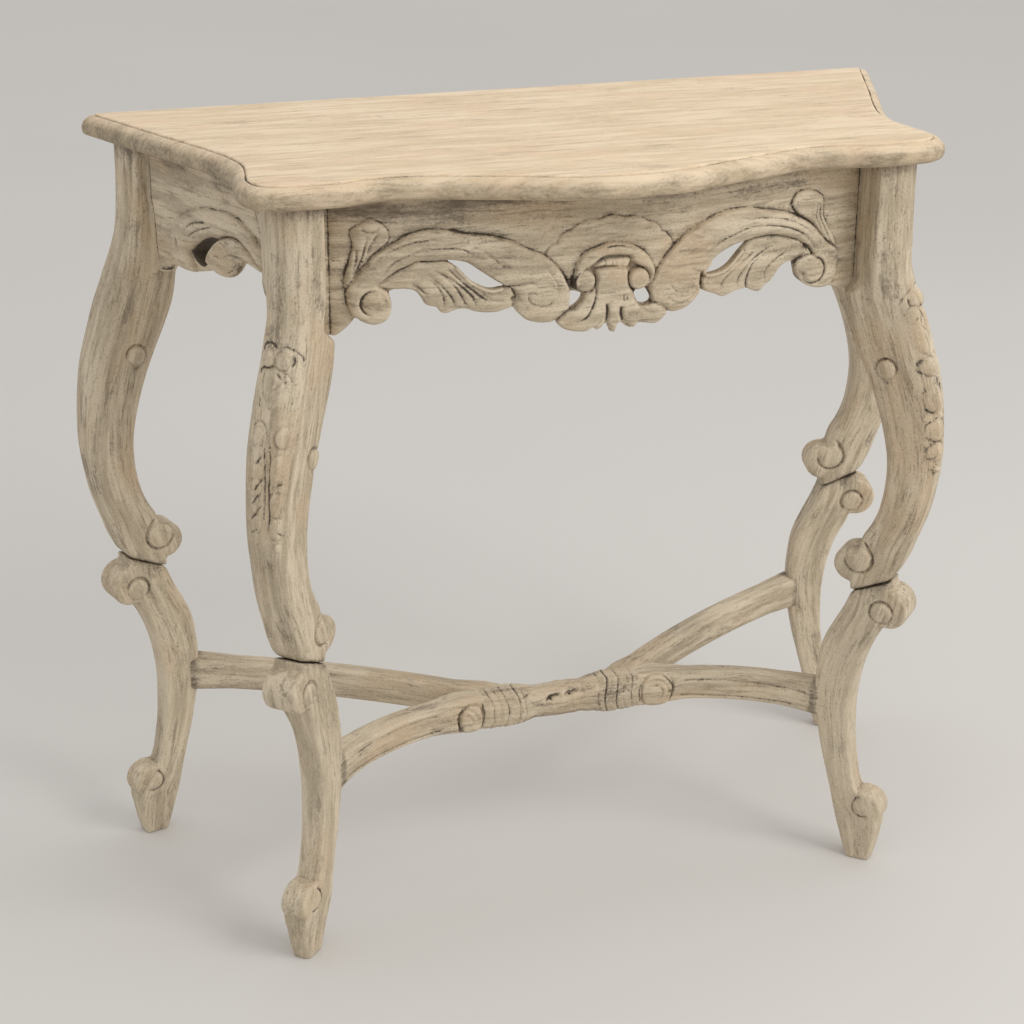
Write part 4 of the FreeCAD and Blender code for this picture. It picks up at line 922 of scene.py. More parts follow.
APRON_HOLES = [
    [(-158, 715), (-141, 712), (-126, 702), (-113, 693), (-105, 688), (-110, 687), (-118, 686), (-127, 689),
     (-138, 696), (-149, 708)],
    [(143, 711), (137, 711), (124, 707), (108, 699), (101, 692), (97, 684), (109, 684), (121, 689),
     (134, 702)],
    [(-41, 678), (-31, 676), (-30, 673), (-34, 667), (-41, 663), (-43, 667)],
    [(24, 672), (33, 676), (40, 666), (37, 661), (28, 662)],
]
SHELL_CUSPS = [(-66, 714), (-54, 725), (-41, 738), (-13, 746), (12, 746), (36, 740), (49, 730), (62, 715)]
RIBBED_STRIP = [
    (-20, 700), (-12, 706), (-4, 708), (2, 708), (16, 708), (18, 703), (14, 698), (1, 700), (-11, 701),
]
SHELL_FOOT = [(60, 708), (52, 702), (45, 692), (30, 700), (0, 712), (-30, 700), (-44, 690), (-52, 700)]


def scallops(cusps, bulge):
    """Points of a row of lobes that bulge to the left of the way from cusp to cusp."""
    points = []
    for (ax, ay), (bx, by) in zip(cusps, cusps[1:]):
        run = math.hypot(bx - ax, by - ay)
        for t in np.linspace(0, 1, 7)[:-1]:
            out = bulge * math.sin(math.pi * t) ** 0.7 / run
            points.append((ax + (bx - ax) * t - (by - ay) * out, ay + (by - ay) * t + (bx - ax) * out))
    return points + [cusps[-1]]


# Raised shapes: outline, rise, shoulder, base and the strength of the dark line round it.
APRON_CUSHIONS = [
    # shell behind the arch
    (scallops(SHELL_CUSPS, 3.0) + SHELL_FOOT, 2.0, 8, 0.8, 0.8),
    # left bud, then right bud
    ([(-246, 744), (-242, 748), (-237, 751), (-230, 756), (-222, 754), (-213, 747), (-211, 738),
      (-214, 732), (-224, 724), (-232, 715), (-239, 706), (-244, 694), (-251, 690), (-252, 701),
      (-248, 715), (-244, 731)], 3.5, 7, 1.0, 0.9),
    ([(230, 741), (224, 748), (211, 753), (198, 751), (192, 742), (194, 737), (201, 729), (214, 721),
      (226, 709), (238, 697), (249, 690), (246, 700), (239, 711), (231, 725)], 3.5, 7, 1.0, 0.9),
    # left leaf, then right leaf
    ([(-225, 692), (-214, 700), (-204, 707), (-193, 712), (-186, 715), (-173, 715), (-158, 715),
      (-149, 708), (-138, 696), (-127, 689), (-110, 687), (-99, 688), (-93, 676), (-98, 667), (-113, 662),
      (-134, 664), (-148, 667), (-161, 663), (-178, 672), (-187, 685), (-202, 688)], 4.0, 9, 1.5, 0.6),
    ([(218, 688), (205, 702), (191, 708), (171, 713), (152, 713), (143, 711), (134, 702), (121, 689),
      (109, 684), (94, 684), (90, 674), (94, 667), (117, 657), (144, 662), (158, 657), (172, 667),
      (183, 680), (192, 683), (204, 686)], 4.0, 9, 1.5, 0.6),
    # left band with its lobe and volute, then the right one
    ([(-246, 697), (-239, 706), (-232, 714), (-226, 721), (-209, 732), (-194, 741), (-176, 745),
      (-158, 744), (-140, 740), (-118, 737), (-99, 731), (-84, 723), (-68, 716), (-55, 704), (-48, 694),
      (-42, 680), (-42, 664), (-47, 657), (-57, 650), (-70, 649), (-85, 653), (-94, 661), (-97, 668),
      (-95, 678), (-100, 687), (-105, 688), (-113, 693), (-126, 702), (-141, 712), (-158, 715), (-173, 715),
      (-186, 715), (-193, 712), (-204, 707), (-214, 700), (-222, 693), (-214, 688), (-210, 679),
      (-210, 668), (-215, 659), (-228, 655), (-243, 662), (-249, 673), (-251, 687)], 6.0, 15, 3.0, 0.9),
    ([(36, 677), (41, 686), (49, 700), (61, 714), (75, 725), (96, 736), (113, 742), (132, 744), (150, 742),
      (169, 738), (191, 732), (209, 723), (220, 715), (231, 703), (239, 696), (248, 690), (251, 683),
      (250, 668), (245, 656), (236, 651), (222, 653), (209, 659), (200, 668), (197, 677), (200, 684),
      (212, 688), (220, 688), (205, 702), (191, 708), (171, 713), (152, 713), (143, 711), (124, 707),
      (108, 699), (99, 690), (96, 684), (92, 679), (92, 668), (86, 659), (75, 651), (63, 649), (51, 655),
      (40, 662)], 6.0, 15, 3.0, 0.9),
    # palmette
    ([(-16, 698), (-1, 700), (14, 698), (15, 689), (17, 680), (22, 673), (23, 668), (28, 661), (34, 660),
      (41, 662), (51, 658), (57, 651), (54, 646), (45, 640), (35, 641), (28, 644), (22, 638), (14, 644),
      (8, 644), (5, 639), (1, 635), (-5, 644), (-10, 643), (-16, 638), (-20, 639), (-31, 638), (-48, 642),
      (-57, 650), (-49, 659), (-43, 662), (-37, 664), (-30, 672), (-27, 677), (-20, 683), (-17, 688),
      (-17, 695)], 3.5, 9, 5.0, 0.75),
    # ribbed strip under the arch, then the arch itself
    (RIBBED_STRIP, 1.2, 3, 3.5, 0.6),
    ([(-40, 684), (-39, 697), (-36, 708), (-29, 716), (-16, 721), (-4, 724), (9, 723), (21, 719), (33, 711),
      (40, 701), (43, 693), (41, 684), (35, 677), (34, 681), (37, 688), (33, 695), (26, 699), (18, 704),
      (16, 709), (1, 711), (-11, 710), (-20, 704), (-28, 699), (-32, 692), (-34, 682)], 3.0, 6, 5.5, 0.95),
]
SMALL_VOLUTES = [((-28, 688), 10.5), ((26, 686), 11.0)]
# small hollows painted dark: painted shade in the recesses
APRON_HOLLOWS = [((19, 700), 3.5), ((-19, 698), 3.0), ((92, 684), 2.5), ((-98, 676), 2.5)]
VOLUTE_EYES = [((-227, 677), 11.0), ((219, 672), 12.5)]
# Cut lines: points, width, depth and how dark the line is painted.
APRON_GROOVES = [
    # left
    ([(-220, 699), (-210, 714), (-190, 724), (-173, 727), (-149, 727), (-134, 720)], 1.5, 1.5, 0.8),
    ([(-229, 712), (-215, 724), (-194, 733), (-176, 736), (-158, 736)], 1.4, 1.2, 0.7),
    ([(-243, 702), (-236, 715), (-228, 722)], 1.3, 1.2, 0.6),
    ([(-146, 731), (-128, 725), (-112, 712), (-100, 703)], 1.6, 1.0, 0.35),
    ([(-242, 731), (-241, 720), (-244, 705)], 1.3, 1.6, 0.7),
    ([(-231, 741), (-233, 731), (-236, 720), (-243, 702)], 1.3, 1.8, 0.75),
    ([(-221, 743), (-229, 730), (-232, 720)], 1.3, 1.6, 0.65),
    ([(-237, 750), (-233, 744), (-224, 744), (-219, 750)], 1.3, 1.4, 0.6),
    ([(-186, 699), (-174, 697), (-164, 683), (-162, 668)], 1.4, 1.4, 0.75),
    ([(-173, 707), (-155, 697), (-138, 682), (-132, 670)], 1.5, 1.8, 0.85),
    ([(-161, 710), (-144, 693), (-127, 679), (-118, 674)], 1.5, 1.8, 0.85),
    ([(-164, 702), (-151, 689), (-141, 670)], 1.4, 1.4, 0.75),
    ([(-180, 704), (-167, 694), (-155, 679), (-152, 668)], 1.4, 1.4, 0.75),
    ([(-193, 695), (-186, 691), (-177, 682)], 1.8, 1.6, 0.9),
    ([(-128, 684), (-118, 676), (-106, 674)], 1.3, 1.2, 0.45),
    ([(-75, 678), (-80, 682), (-84, 679), (-82, 672), (-73, 668), (-64, 669), (-59, 675)], 1.4, 1.5, 0.6),
    ([(-69, 707), (-61, 696), (-55, 685), (-57, 672)], 1.3, 1.1, 0.4),
    ([(-105, 688), (-94, 689), (-82, 691), (-75, 688)], 1.6, 2.2, 0.75),
    ([(-99, 686), (-95, 678), (-99, 668)], 1.8, 2.4, 0.8),
    ([(-48, 694), (-42, 681), (-42, 664)], 1.5, 1.6, 0.6),
    # right
    ([(221, 695), (206, 710), (188, 719), (166, 724), (142, 725), (125, 720), (111, 715), (97, 705),
      (86, 698)], 1.5, 1.6, 0.8),
    ([(127, 731), (151, 733), (180, 729), (202, 720), (218, 709)], 1.4, 1.3, 0.7),
    ([(228, 741), (225, 728), (232, 713), (242, 695)], 1.3, 1.6, 0.65),
    ([(223, 736), (221, 725), (229, 711)], 1.2, 1.2, 0.5),
    ([(147, 659), (141, 669), (146, 685), (155, 694)], 1.5, 1.7, 0.85),
    ([(132, 665), (133, 676), (149, 693), (168, 704)], 1.5, 1.5, 0.75),
    ([(113, 665), (116, 675), (134, 689), (152, 702)], 1.4, 1.3, 0.65),
    ([(162, 666), (163, 679), (174, 689), (189, 696)], 1.4, 1.3, 0.65),
    ([(203, 701), (211, 693), (203, 688), (194, 686)], 1.4, 1.4, 0.6),
    ([(57, 680), (63, 672), (73, 669), (80, 672)], 1.3, 1.2, 0.5),
    ([(52, 669), (67, 659), (81, 663), (87, 672)], 1.2, 0.9, 0.3),
    ([(78, 692), (88, 688), (96, 685)], 1.6, 1.8, 0.65),
    ([(93, 684), (91, 675), (95, 667)], 1.8, 2.4, 0.85),
    ([(43, 692), (37, 678), (39, 664)], 1.5, 1.6, 0.7),
    # palmette
    ([(-17, 690), (-18, 676), (-20, 667), (-25, 656), (-31, 651), (-39, 650)], 1.3, 2.0, 0.85),
    ([(-7, 666), (-6, 657), (-7, 645)], 2.2, 4.0, 1.0),
    ([(8, 662), (8, 653), (11, 645)], 2.2, 4.0, 1.0),
    ([(10, 674), (10, 666)], 1.0, 1.0, 0.8),
    ([(13, 672), (13, 667)], 1.0, 0.8, 0.7),
    ([(-11, 719), (0, 721), (13, 719), (21, 716)], 1.0, 1.2, 0.85),
    ([(24, 664), (34, 655), (48, 652)], 1.4, 1.2, 0.4),
    ([(-12, 650), (-17, 644), (-17, 640)], 1.2, 1.0, 0.5),
    ([(-8, 707), (-9, 701)], 0.9, 0.9, 0.6),
    ([(-1, 708), (-1, 700)], 0.9, 0.9, 0.6),
    ([(2, 708), (2, 700)], 0.9, 0.9, 0.5),
    ([(9, 708), (8, 699)], 0.9, 0.9, 0.5),
]


def front_relief():
    """Carved face of the front apron and the distance outside its outline and inside its holes."""
    sheet = Sheet((-290, 290), (628, 784), APRON_STEP)
    for shape in APRON_CUSHIONS:
        sheet.cushion(*shape)
    for centre, radius in SMALL_VOLUTES:
        sheet.dome(centre, (radius, radius), 3.2, 5.5, 0.95)
    for centre, radius in VOLUTE_EYES:
        sheet.dome(centre, (radius, radius), 4.0, 6.5, 0.45)
    sheet.coil(VOLUTE_EYES[0][0], (11.5, 12.0), 80, 260, 1.6, 2.6, 0.9)
    sheet.coil(VOLUTE_EYES[1][0], (13.0, 13.5), 100, -150, 1.6, 2.4, 0.8)
    for centre, radius in APRON_HOLLOWS:
        sheet.hollow(centre, radius, 4.0)
    for line in APRON_GROOVES:
        sheet.groove(*line)
    for hole in APRON_HOLES[:2]:
        sheet.roll(hole[-5:], 3.4, 1.5, 5.0, 0.0)
    strip, depth = sheet.depth(curve(RIBBED_STRIP, closed=True), 2)
    sheet.shade[strip] = np.where(depth > 0.5, -0.9, sheet.shade[strip])
    u, v = sheet.u[:, None], sheet.v[None, :]
    sheet.height += 0.25 * ripple(u, v, 26, 41) + 0.12 * ripple(u, v, 9, 43)
    under_top = ramp(v, 734 + 14 * ramp(u, -120, 60), 770) * ramp(ripple(u, v * 3, 70, 42), -1.0, 0.4)
    sheet.shade = np.maximum(sheet.shade, 0.95 * under_top)
    for place in APRON_JOINTS:
        sheet.groove([(place, 784), (place, 640)], 1.3, 1.0, 0.95, fade=0.01)
    _, depth = sheet.depth(curve(APRON_EDGE, step=3), FAR)
    outline = -depth
    for hole in APRON_HOLES:
        _, depth = sheet.depth(curve(hole, closed=True), FAR)
        outline = np.maximum(outline, depth)
    return sheet, outline


def apron_field(sheet, deep, outline, inside):
    """Field of a carved board: its carved face about depth 0 and a back that thins towards the edges."""
    face = -(deep[:, None] + sheet.height[:, None, :])
    thick = np.minimum(APRON_THICK, APRON_RIM + 0.9 * np.maximum(inside, 0))
    board = np.maximum(face, deep[:, None] - thick[:, None, :])
    field = meet(board, np.broadcast_to(outline, board.shape), APRON_ROUND)
    return np.maximum(field, sheet.v - LEG_TOP)


def apron_bow(x):
    """Y of the front apron's face."""
    radius = (APRON_HALF**2 + APRON_BOW**2) / (2 * APRON_BOW)
    return APRON_FRONT + radius - np.sqrt(radius**2 - x**2)


def build_front_apron():
    """The front apron, bent to its bow after carving."""
    sheet, outline = front_relief()
    deep = np.arange(-15.0, 23.0, 1.0)
    field = apron_field(sheet, deep, outline[:, None, :], -outline)
    field = np.maximum(field, (np.abs(sheet.u) - APRON_REACH)[:, None, None])
    points, faces = surface((sheet.u, deep, sheet.v), field, 0.06)
    x, q, z = points.T
    dirt, shade = sheet.dark_marks(x, z, ramp(6 - q, 0, 6))
    placed = np.column_stack([x, apron_bow(x) + q, z])
    grain = np.column_stack([x, z, q])
    add_piece("front_apron", "frame_wood", placed, faces, dirt, shade, grain)


# Side aprons: t runs from the front post to the back post and z up.

SIDE_EDGE = [
    (-4, 782), (-4, 700), (20, 699), (34, 701), (46, 703), (52, 698), (62, 687), (70, 681), (79, 678),
    (94, 677), (107, 678), (119, 675), (135, 671), (150, 667), (164, 667), (176, 668), (184, 665),
    (195, 658), (213, 653), (222, 654), (240, 656), (240, 782),
]
SIDE_HOLE = [
    (149, 687), (142, 693), (132, 700), (120, 707), (107, 711), (97, 711), (105, 704), (112, 697),
    (116, 689), (119, 683), (128, 678), (139, 680),
]
SIDE_CUSHIONS = [
    # band of the scroll
    ([(140, 671), (151, 668), (164, 668), (176, 670), (185, 678), (188, 688), (185, 700), (176, 713),
      (161, 723), (143, 731), (119, 738), (98, 740), (76, 742), (58, 740), (46, 736), (34, 731), (22, 724),
      (12, 714), (10, 704), (20, 702), (26, 707), (35, 713), (47, 718), (60, 721), (76, 719), (93, 713),
      (107, 712), (120, 707), (132, 700), (142, 693), (150, 687), (145, 680)], 6.5, 12, 1.0, 0.6),
    # ball and the tail that it ends
    ([(116, 686), (113, 695), (105, 703), (93, 712), (76, 718), (60, 720), (47, 717), (35, 713), (26, 707),
      (16, 702), (14, 697), (25, 699), (36, 700), (46, 703), (52, 698), (62, 687), (70, 681), (79, 678),
      (94, 678), (107, 682)], 6.0, 14, 2.5, 0.75),
]
SIDE_GROOVES = [
    # inner lines of the band
    ([(152, 709), (142, 717), (130, 722), (105, 727)], 1.5, 1.6, 0.75),
    ([(149, 701), (135, 711), (115, 719), (92, 726)], 1.5, 1.6, 0.75),
    ([(168, 702), (167, 694), (163, 686)], 1.5, 1.4, 0.7),
    ([(32, 731), (23, 724), (18, 718)], 1.3, 1.2, 0.6),
    # marks on the ball
    ([(74, 701), (61, 705), (50, 705)], 1.4, 1.4, 0.6),
    ([(80, 680), (66, 688), (54, 699)], 1.3, 1.2, 0.55),
    ([(72, 680), (60, 690), (52, 700)], 1.3, 1.2, 0.45),
    ([(96, 694), (90, 698), (82, 696)], 1.8, 1.2, 0.7),
    ([(104, 694), (95, 704), (84, 710)], 1.6, 1.0, 0.35),
    # joints with the front post and the back leg, and the shadow at the foot of the latter
    ([(28, 756), (24, 744), (19, 733), (15, 723)], 1.4, 1.2, 0.85),
    ([(228, 784), (227, 752), (227, 734), (225, 719), (222, 704), (221, 684), (218, 669),
      (215, 655)], 1.6, 1.6, 1.0),
    ([(216, 656), (204, 658), (194, 661), (183, 668)], 3.0, 1.5, 1.0),
]
SIDE_JOINT = [(650, 213), (669, 218), (684, 221), (704, 222), (719, 225), (734, 227), (784, 228)]
SIDE_SMUDGES = [(183, 738), (92, 768), (80, 752)]
SIDE_START = np.array([311.0, -75.0])
SIDE_END = np.array([388.4, 148.0])
SIDE_OVERLAP = 1.5
HOLE_TAPER = 0.3


def side_relief():
    """Carved face of a side apron."""
    sheet = Sheet((-8, 246), (648, 784), APRON_STEP)
    for shape in SIDE_CUSHIONS:
        sheet.cushion(*shape)
    for line in SIDE_GROOVES:
        sheet.groove(*line)
    u, v = sheet.u[:, None], sheet.v[None, :]
    sheet.height += 0.25 * ripple(u, v, 26, 51) + 0.12 * ripple(u, v, 9, 53)
    under_top = ramp(v, 748, 776) * ramp(ripple(u, v * 3, 70, 52), -0.9, 0.5)
    sheet.shade = np.maximum(sheet.shade, 0.9 * under_top)
    for centre in SIDE_SMUDGES:
        sheet.hollow(centre, 9.0, 0.0, 0.3)
    return sheet


def build_side_aprons():
    """The side apron, set on both sides of the table."""
    sheet = side_relief()
    _, inside = sheet.depth(curve(SIDE_EDGE, step=3), FAR)
    _, hole = sheet.depth(curve(SIDE_HOLE, closed=True), FAR)
    deep = np.arange(-14.0, 23.0, 1.0)
    tapered = hole[:, None, :] - HOLE_TAPER * np.maximum(deep, 0)[:, None]
    field = apron_field(sheet, deep, np.maximum(-inside[:, None, :], tapered), inside)
    length = np.linalg.norm(SIDE_END - SIDE_START)
    past_end = np.maximum(-sheet.u, sheet.u - length) - SIDE_OVERLAP
    points, faces = surface((sheet.u, deep, sheet.v), np.maximum(field, past_end[:, None, None]), 0.06)
    t, q, z = points.T
    along = (SIDE_END - SIDE_START) / length
    x = SIDE_START[0] + along[0] * t - along[1] * q
    y = SIDE_START[1] + along[1] * t + along[0] * q
    dirt, shade = sheet.dark_marks(t, z, ramp(6 - q, 0, 6))
    # painted shadow on the walls of the hole
    hole_shadow = ramp(sheet.sample(hole, t, z), -1.5, 0.0) * ramp(q, -3, 1)
    dirt = np.maximum(dirt, hole_shadow)
    on_leg = (t > table(SIDE_JOINT, z))[:, None]
    grain = np.where(on_leg, np.column_stack([z, t, q]), np.column_stack([t, z, q]))
    for name, sign in SIDES.items():
        placed = np.column_stack([sign * x, y, z])
        add_piece(f"{name}_apron", "frame_wood", placed, faces, dirt, shade, grain)


# Stretcher: the centre bar along x, and arms that run along a path t with n across and h up.

STRETCHER_LEVEL = 183.0
HUB_Y = -11.0
HUB_STEP = 1.1
HUB_HALF_LENGTH = 90.0
HUB_HALF_DEPTH = 17.0
HUB_HALF_HEIGHT = 18.0
HUB_SWELL = [(0, -0.5), (24, -1.5), (38, 0.0), (44, 1.5), (54, 2.6), (66, 2.2), (80, 2.2), (90, 1.0)]
# Place, depth and how dark the line of each ring is painted.
HUB_RINGS = [
    (40.5, 0.9, 0.6), (48, 1.5, 0.8), (52.5, 0.8, 0.5), (61, 1.3, 0.75), (69.5, 0.8, 0.5), (77.5, 1.1, 0.7),
    (88.5, 1.5, 0.9),
]
HUB_MIRRORED_LINES = [
    ([(36, 12), (26, 15), (14, 16), (2, 15)], 1.6, 1.0, 0.4),
    ([(34, -4), (22, -8), (8, -6), (0, -8)], 1.8, 0.8, 0.3),
    ([(33, 4), (24, 3), (16, -1), (5, 0)], 1.8, 0.8, 0.3),
]
HUB_HOOKS = [
    ([(-19, 4), (-15, 8), (-9, 10), (-1, 10)], 2.2, 3.4, 0.95),
    ([(2, 8), (7, 11), (13, 12), (19, 13)], 1.8, 2.8, 0.9),
    ([(-46, 14), (-36, 15), (-24, 16)], 1.4, 1.4, 0.8),
]


def ring_place(x, z):
    """Place along the bar, measured on its bowed and uneven rings."""
    return np.abs(x) - 4.0 * (z / HUB_HALF_HEIGHT) ** 2 + 0.8 * ripple(x, z, 20, 63)


def hub_carving(x):
    """Lines and hooked hollows on the front and back of the bar."""
    sheet = Sheet((x[0], x[-1]), (-27, 27), HUB_STEP)
    for side in (-1, 1):
        for points, width, deep, darken in HUB_MIRRORED_LINES:
            sheet.groove([(side * u, v) for u, v in points], width, deep, darken)
    for line in HUB_HOOKS:
        sheet.groove(*line)
    sheet.hollow((-13, 7), 2.6, 2.2, 0.9)
    sheet.hollow((8, 9.5), 2.0, 1.8, 0.9)
    return sheet


def build_hub():
    """The carved centre bar: bowed rings at both ends and two hooked hollows in the middle."""
    x = np.arange(-96.0, 97.0, HUB_STEP)
    y = np.arange(-25.0, 25.0, HUB_STEP)
    z = np.arange(-27.0, 27.0, HUB_STEP)
    swell = table(HUB_SWELL, np.abs(x))[:, None, None]
    shape = (len(x), len(y), len(z))
    across = np.broadcast_to(np.abs(y)[:, None] - HUB_HALF_DEPTH - swell, shape)
    tall = np.broadcast_to(np.abs(z) - HUB_HALF_HEIGHT - swell, shape)
    around = ring_place(x[:, None], z)
    cut = sum(deep * np.exp(-(((around - ring) / 1.3) ** 2)) for ring, deep, _ in HUB_RINGS)
    rough = 0.35 * ripple(x[:, None], z, 22, 61) + 0.3 * ripple(x[:, None], z, 9, 62)
    sheet = hub_carving(x)
    relief = sheet.height[: len(x), None, : len(z)] * ramp(np.abs(y), 4, 12)[:, None]
    field = meet(across, tall, 12.0) + (cut + rough)[:, None, :] - relief
    field = np.maximum(field, (np.abs(x) - HUB_HALF_LENGTH)[:, None, None])
    points, faces = surface((x, y, z), field)
    u, q, v = points.T
    dirt, smudge_and_shade = sheet.dark_marks(u, v, ramp(np.abs(q), 6, 12))
    shade = 0.28 + 0.8 * smudge_and_shade
    around = ring_place(u, v)
    for ring, _, darken in HUB_RINGS:
        dirt = np.maximum(dirt, darken * np.exp(-(((around - ring) / 1.2) ** 2)))
        shade = np.maximum(shade, 0.5 * darken * np.exp(-(((around - ring) / 4) ** 2)))
    placed = np.column_stack([u, q + HUB_Y, v + STRETCHER_LEVEL])
    add_piece("stretcher_hub", "frame_wood", placed, faces, dirt, shade, points)


def through(a, b, c, count=60):
    """Points of the arc from a over b to c."""
    (ax, ay), (bx, by), (cx, cy) = a, b, c
    spread = 2 * (ax * (by - cy) + bx * (cy - ay) + cx * (ay - by))
    a_square = ax * ax + ay * ay
    b_square = bx * bx + by * by
    c_square = cx * cx + cy * cy
    x = a_square * (by - cy) + b_square * (cy - ay) + c_square * (ay - by)
    y = a_square * (cx - bx) + b_square * (ax - cx) + c_square * (bx - ax)
    centre = np.array([x, y]) / spread
    start, end = (math.atan2(point[1] - centre[1], point[0] - centre[0]) for point in (a, c))
    turn = (end - start + math.pi) % (2 * math.pi) - math.pi
    return arc(centre, math.dist(a, centre), math.degrees(start), math.degrees(start + turn), count)


ARM_STEP = 1.2
ARM_HALF_DEPTH = 13.0
ARM_HALF_HEIGHT = 17.0
ARM_ROUND = 5.0
FRONT_ARM_RADIUS = 248.2
FRONT_ARM_HALF_TURN = math.radians(24.45)
FRONT_ARM_START = (88.0, HUB_Y)
FRONT_ARM_END = (275.1, -96.1)
BACK_ARM = ((62.0, HUB_Y), (205.6, 96.2), (365.1, 178.0))
ARM_LINES = [
    [(46, 7), (90, 8), (150, 7), (199, 6)],
    [(42, -10), (90, -11), (150, -11), (199, -11)],
]
ARM_CURLS = {
    "right": {
        "bulge": ((23, -1), (19.5, 22)),
        "edge": [(27, 19), (36, 11), (42, 1), (40, -9), (35, -19)],
        "eye": (39, -3),
        "lines": [
            [(12, 14), (26, 12), (35, 4), (36, -6), (30, -14)],
            [(12, 7), (22, 6), (29, 0), (28, -8), (21, -12)],
        ],
    },
    "left": {
        "bulge": ((15, -4), (14, 18)),
        "edge": [(20, 12), (27, 6), (30, -2), (29, -10), (28, -18)],
        "eye": (30, -2),
        "lines": [
            [(40, 14), (28, 12), (16, 8), (8, 0), (8, -10)],
            [(34, 4), (22, 4), (15, -2), (14, -11)],
        ],
    },
}


def arm_carving(end, name, length):
    """Curl and long lines on the faces of one arm of the stretcher."""
    sheet = Sheet((-3, length + 3), (-26, 26), ARM_STEP)
    if end == "front":
        curl = ARM_CURLS[name]
        for line in ARM_LINES:
            sheet.groove(line, 1.4, 1.6, 0.7, fade=0.08)
        sheet.dome(*curl["bulge"], 4.0, 0.6, 0.3)
        sheet.groove(curl["edge"], 1.8, 2.2, 0.9)
        sheet.hollow(curl["eye"], 2.4, 1.8, 0.8)
        for line in curl["lines"]:
            sheet.groove(line, 1.5, 1.2, 0.45)
    return sheet


def build_arm(end, name, path):
    """One arm, carved along its path and set on its side of the table."""
    travel = travelled(path)
    length = travel[-1]
    sheet = arm_carving(end, name, length)
    t, h = sheet.u, sheet.v
    n = np.arange(-21.0, 21.0, ARM_STEP)
    swell = [(0, 2.0), (25, 2.5), (60, -1.0), (length - 50, -0.5), (length - 12, 1.5), (length, 2.0)]
    swell = table(swell, t)[:, None, None]
    across = np.abs(n)[:, None] - ARM_HALF_DEPTH - 0.5 * swell - sheet.height[:, None, :]
    tall = np.abs(h) - ARM_HALF_HEIGHT - swell
    field = meet(across, np.broadcast_to(tall, across.shape), ARM_ROUND)
    field = np.maximum(field, np.maximum(-t, t - length)[:, None, None])
    points, faces = surface((t, n, h), field)
    run, off, rise = points.T
    dirt, shade = sheet.dark_marks(run, rise, ramp(np.abs(off), 8, 12))
    shade = np.maximum(shade, 0.9 * np.exp(-(((run - length + 6) / 7.0) ** 2)))
    x, y, ahead_x, ahead_y = (np.interp(run, travel, values) for values in (*path.T, *headings(path).T))
    placed = np.column_stack([SIDES[name] * (x - ahead_y * off), y + ahead_x * off, rise + STRETCHER_LEVEL])
    grain = np.column_stack([run, rise, off])
    add_piece(f"{end}_{name}_stretcher_arm", "frame_wood", placed, faces, dirt, shade, grain)


def build_arms():
    """Two bowed arms to the front legs and two to the back legs."""
    x, y = FRONT_ARM_START
    middle = (
        x + FRONT_ARM_RADIUS * math.sin(FRONT_ARM_HALF_TURN),
        y - FRONT_ARM_RADIUS * (1 - math.cos(FRONT_ARM_HALF_TURN)),
    )
    paths = {"front": through(FRONT_ARM_START, middle, FRONT_ARM_END), "back": through(*BACK_ARM)}
    for end, path in paths.items():
        for name in SIDES:
            build_arm(end, name, path)


# CAD solids that stay in view.

DRESSES = {
    "screws": SCREW_STEEL,
    "corner_block": INNER_WOOD,
    "back_apron": INNER_WOOD,
    "dowels": INNER_WOOD,
}


def dress_cad():
    """Gives the CAD solids in view their materials."""
    for item in bpy.data.objects:
        if item.type != "MESH" or item.hide_render:
            continue
        for word, material in DRESSES.items():
            if word in item.name:
                item.data.materials.clear()
                item.data.materials.append(material)


# Floor, light and camera.

FLOOR_REACH = 14.0
SKY_COLOUR = (1.0, 0.985, 0.965, 1.0)
SKY_STRENGTH = 0.78
LAMP_COLOUR = (1.0, 0.975, 0.94)
LAMP_TARGET = (0, 0, 0.5)
# Name, place, size and power of each lamp.
LAMPS = [("key", (1.9, -2.2, 2.6), 1.6, 48.0), ("overhead", (0.3, 0.1, 3.2), 2.2, 6.0)]
# The photo's view, fitted to the legs and the top: place in millimetres, angles in radians.
CAMERA_PLACE = (-736.4, -2035.6, 1268.4)
CAMERA_AZIMUTH = 0.32538
CAMERA_PITCH = 0.38382
CAMERA_ROLL = -0.006463
CAMERA_LENS = 78.18
CAMERA_SENSOR = 36.0


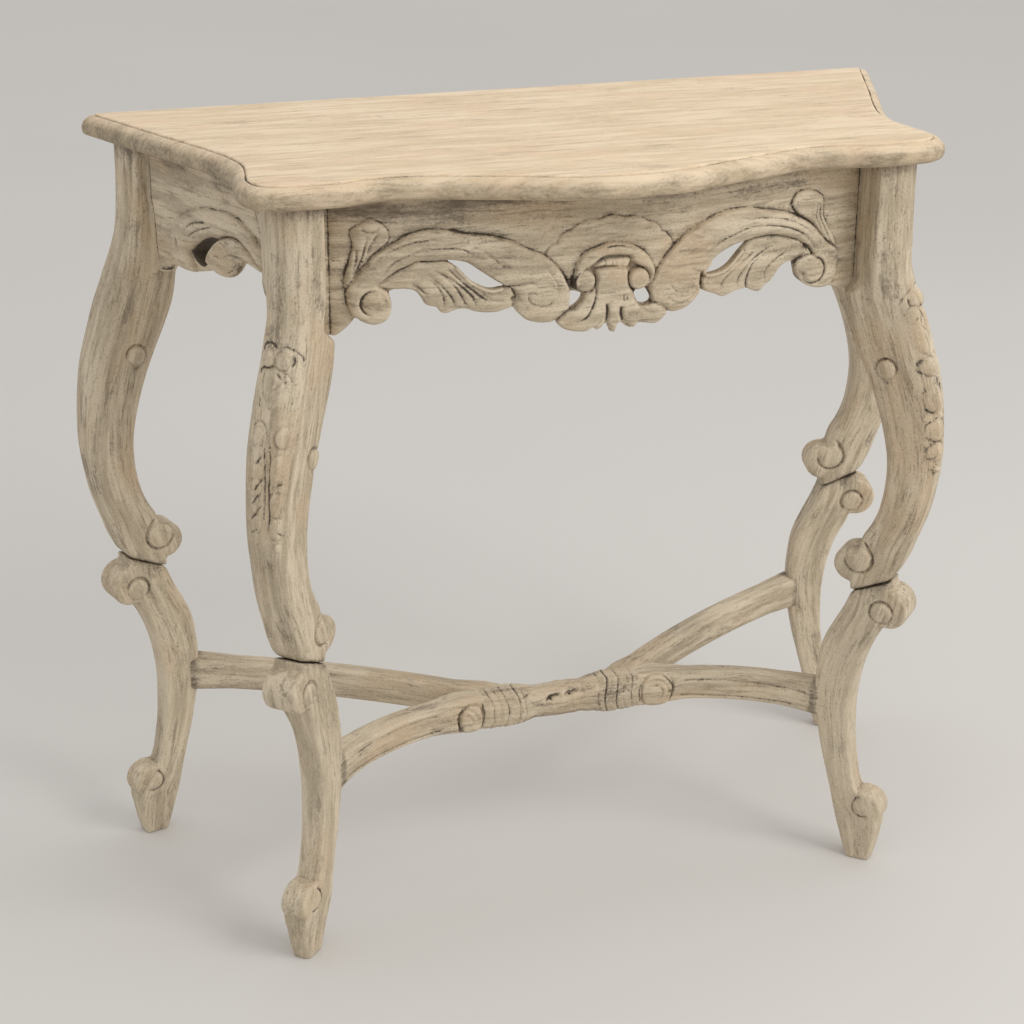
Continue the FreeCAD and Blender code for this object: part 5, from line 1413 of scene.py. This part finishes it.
def build_floor():
    """A plain pale floor."""
    mesh = bpy.data.meshes.new("floor")
    corners = [(FLOOR_REACH * x, FLOOR_REACH * y, 0) for x, y in ((-1, -1), (1, -1), (1, 1), (-1, 1))]
    mesh.from_pydata(corners, [], [[0, 1, 2, 3]])
    floor = bpy.data.objects.new("floor", mesh)
    bpy.context.scene.collection.objects.link(floor)
    n = Nodes("pale_floor")
    place = n.add("ShaderNodeTexCoord", {}).outputs["Object"]
    cloud = n.noise(place, 0.6, 0.6, 2.0)
    n.put(n.shader.inputs["Base Color"], n.mix(cloud, tone("cfcdca"), tone("d6d4d1")))
    n.shader.inputs["Roughness"].default_value = 0.9
    mesh.materials.append(n.material)


def build_light():
    """A bright sky and two soft lamps."""
    world = bpy.data.worlds.new("studio")
    world.use_nodes = True
    sky = world.node_tree.nodes["Background"]
    sky.inputs["Color"].default_value = SKY_COLOUR
    sky.inputs["Strength"].default_value = SKY_STRENGTH
    bpy.context.scene.world = world
    for name, place, size, power in LAMPS:
        lamp = bpy.data.lights.new(name, "AREA")
        lamp.size = size
        lamp.energy = power
        lamp.color = LAMP_COLOUR
        holder = bpy.data.objects.new(name, lamp)
        holder.location = place
        x, y, z = np.subtract(LAMP_TARGET, place)
        holder.rotation_euler = (math.atan2(math.hypot(x, y), -z), 0, math.atan2(y, x) - math.pi / 2)
        bpy.context.scene.collection.objects.link(holder)


def build_camera():
    """The photo's view."""
    lens = bpy.data.cameras.new("camera")
    lens.sensor_fit = "HORIZONTAL"
    lens.sensor_width = CAMERA_SENSOR
    lens.lens = CAMERA_LENS
    lens.dof.use_dof = False
    camera = bpy.data.objects.new("camera", lens)
    camera.matrix_world = (
        Matrix.Translation(Vector(CAMERA_PLACE) * MM)
        @ Matrix.Rotation(-CAMERA_AZIMUTH, 4, "Z")
        @ Matrix.Rotation(math.pi / 2 - CAMERA_PITCH, 4, "X")
        @ Matrix.Rotation(-CAMERA_ROLL, 4, "Z")
    )
    bpy.context.scene.collection.objects.link(camera)
    bpy.context.scene.camera = camera


build_top()
build_legs()
build_front_apron()
build_side_aprons()
build_hub()
build_arms()
dress_cad()
build_floor()
build_light()
build_camera()
bpy.context.scene.view_settings.view_transform = "Standard"
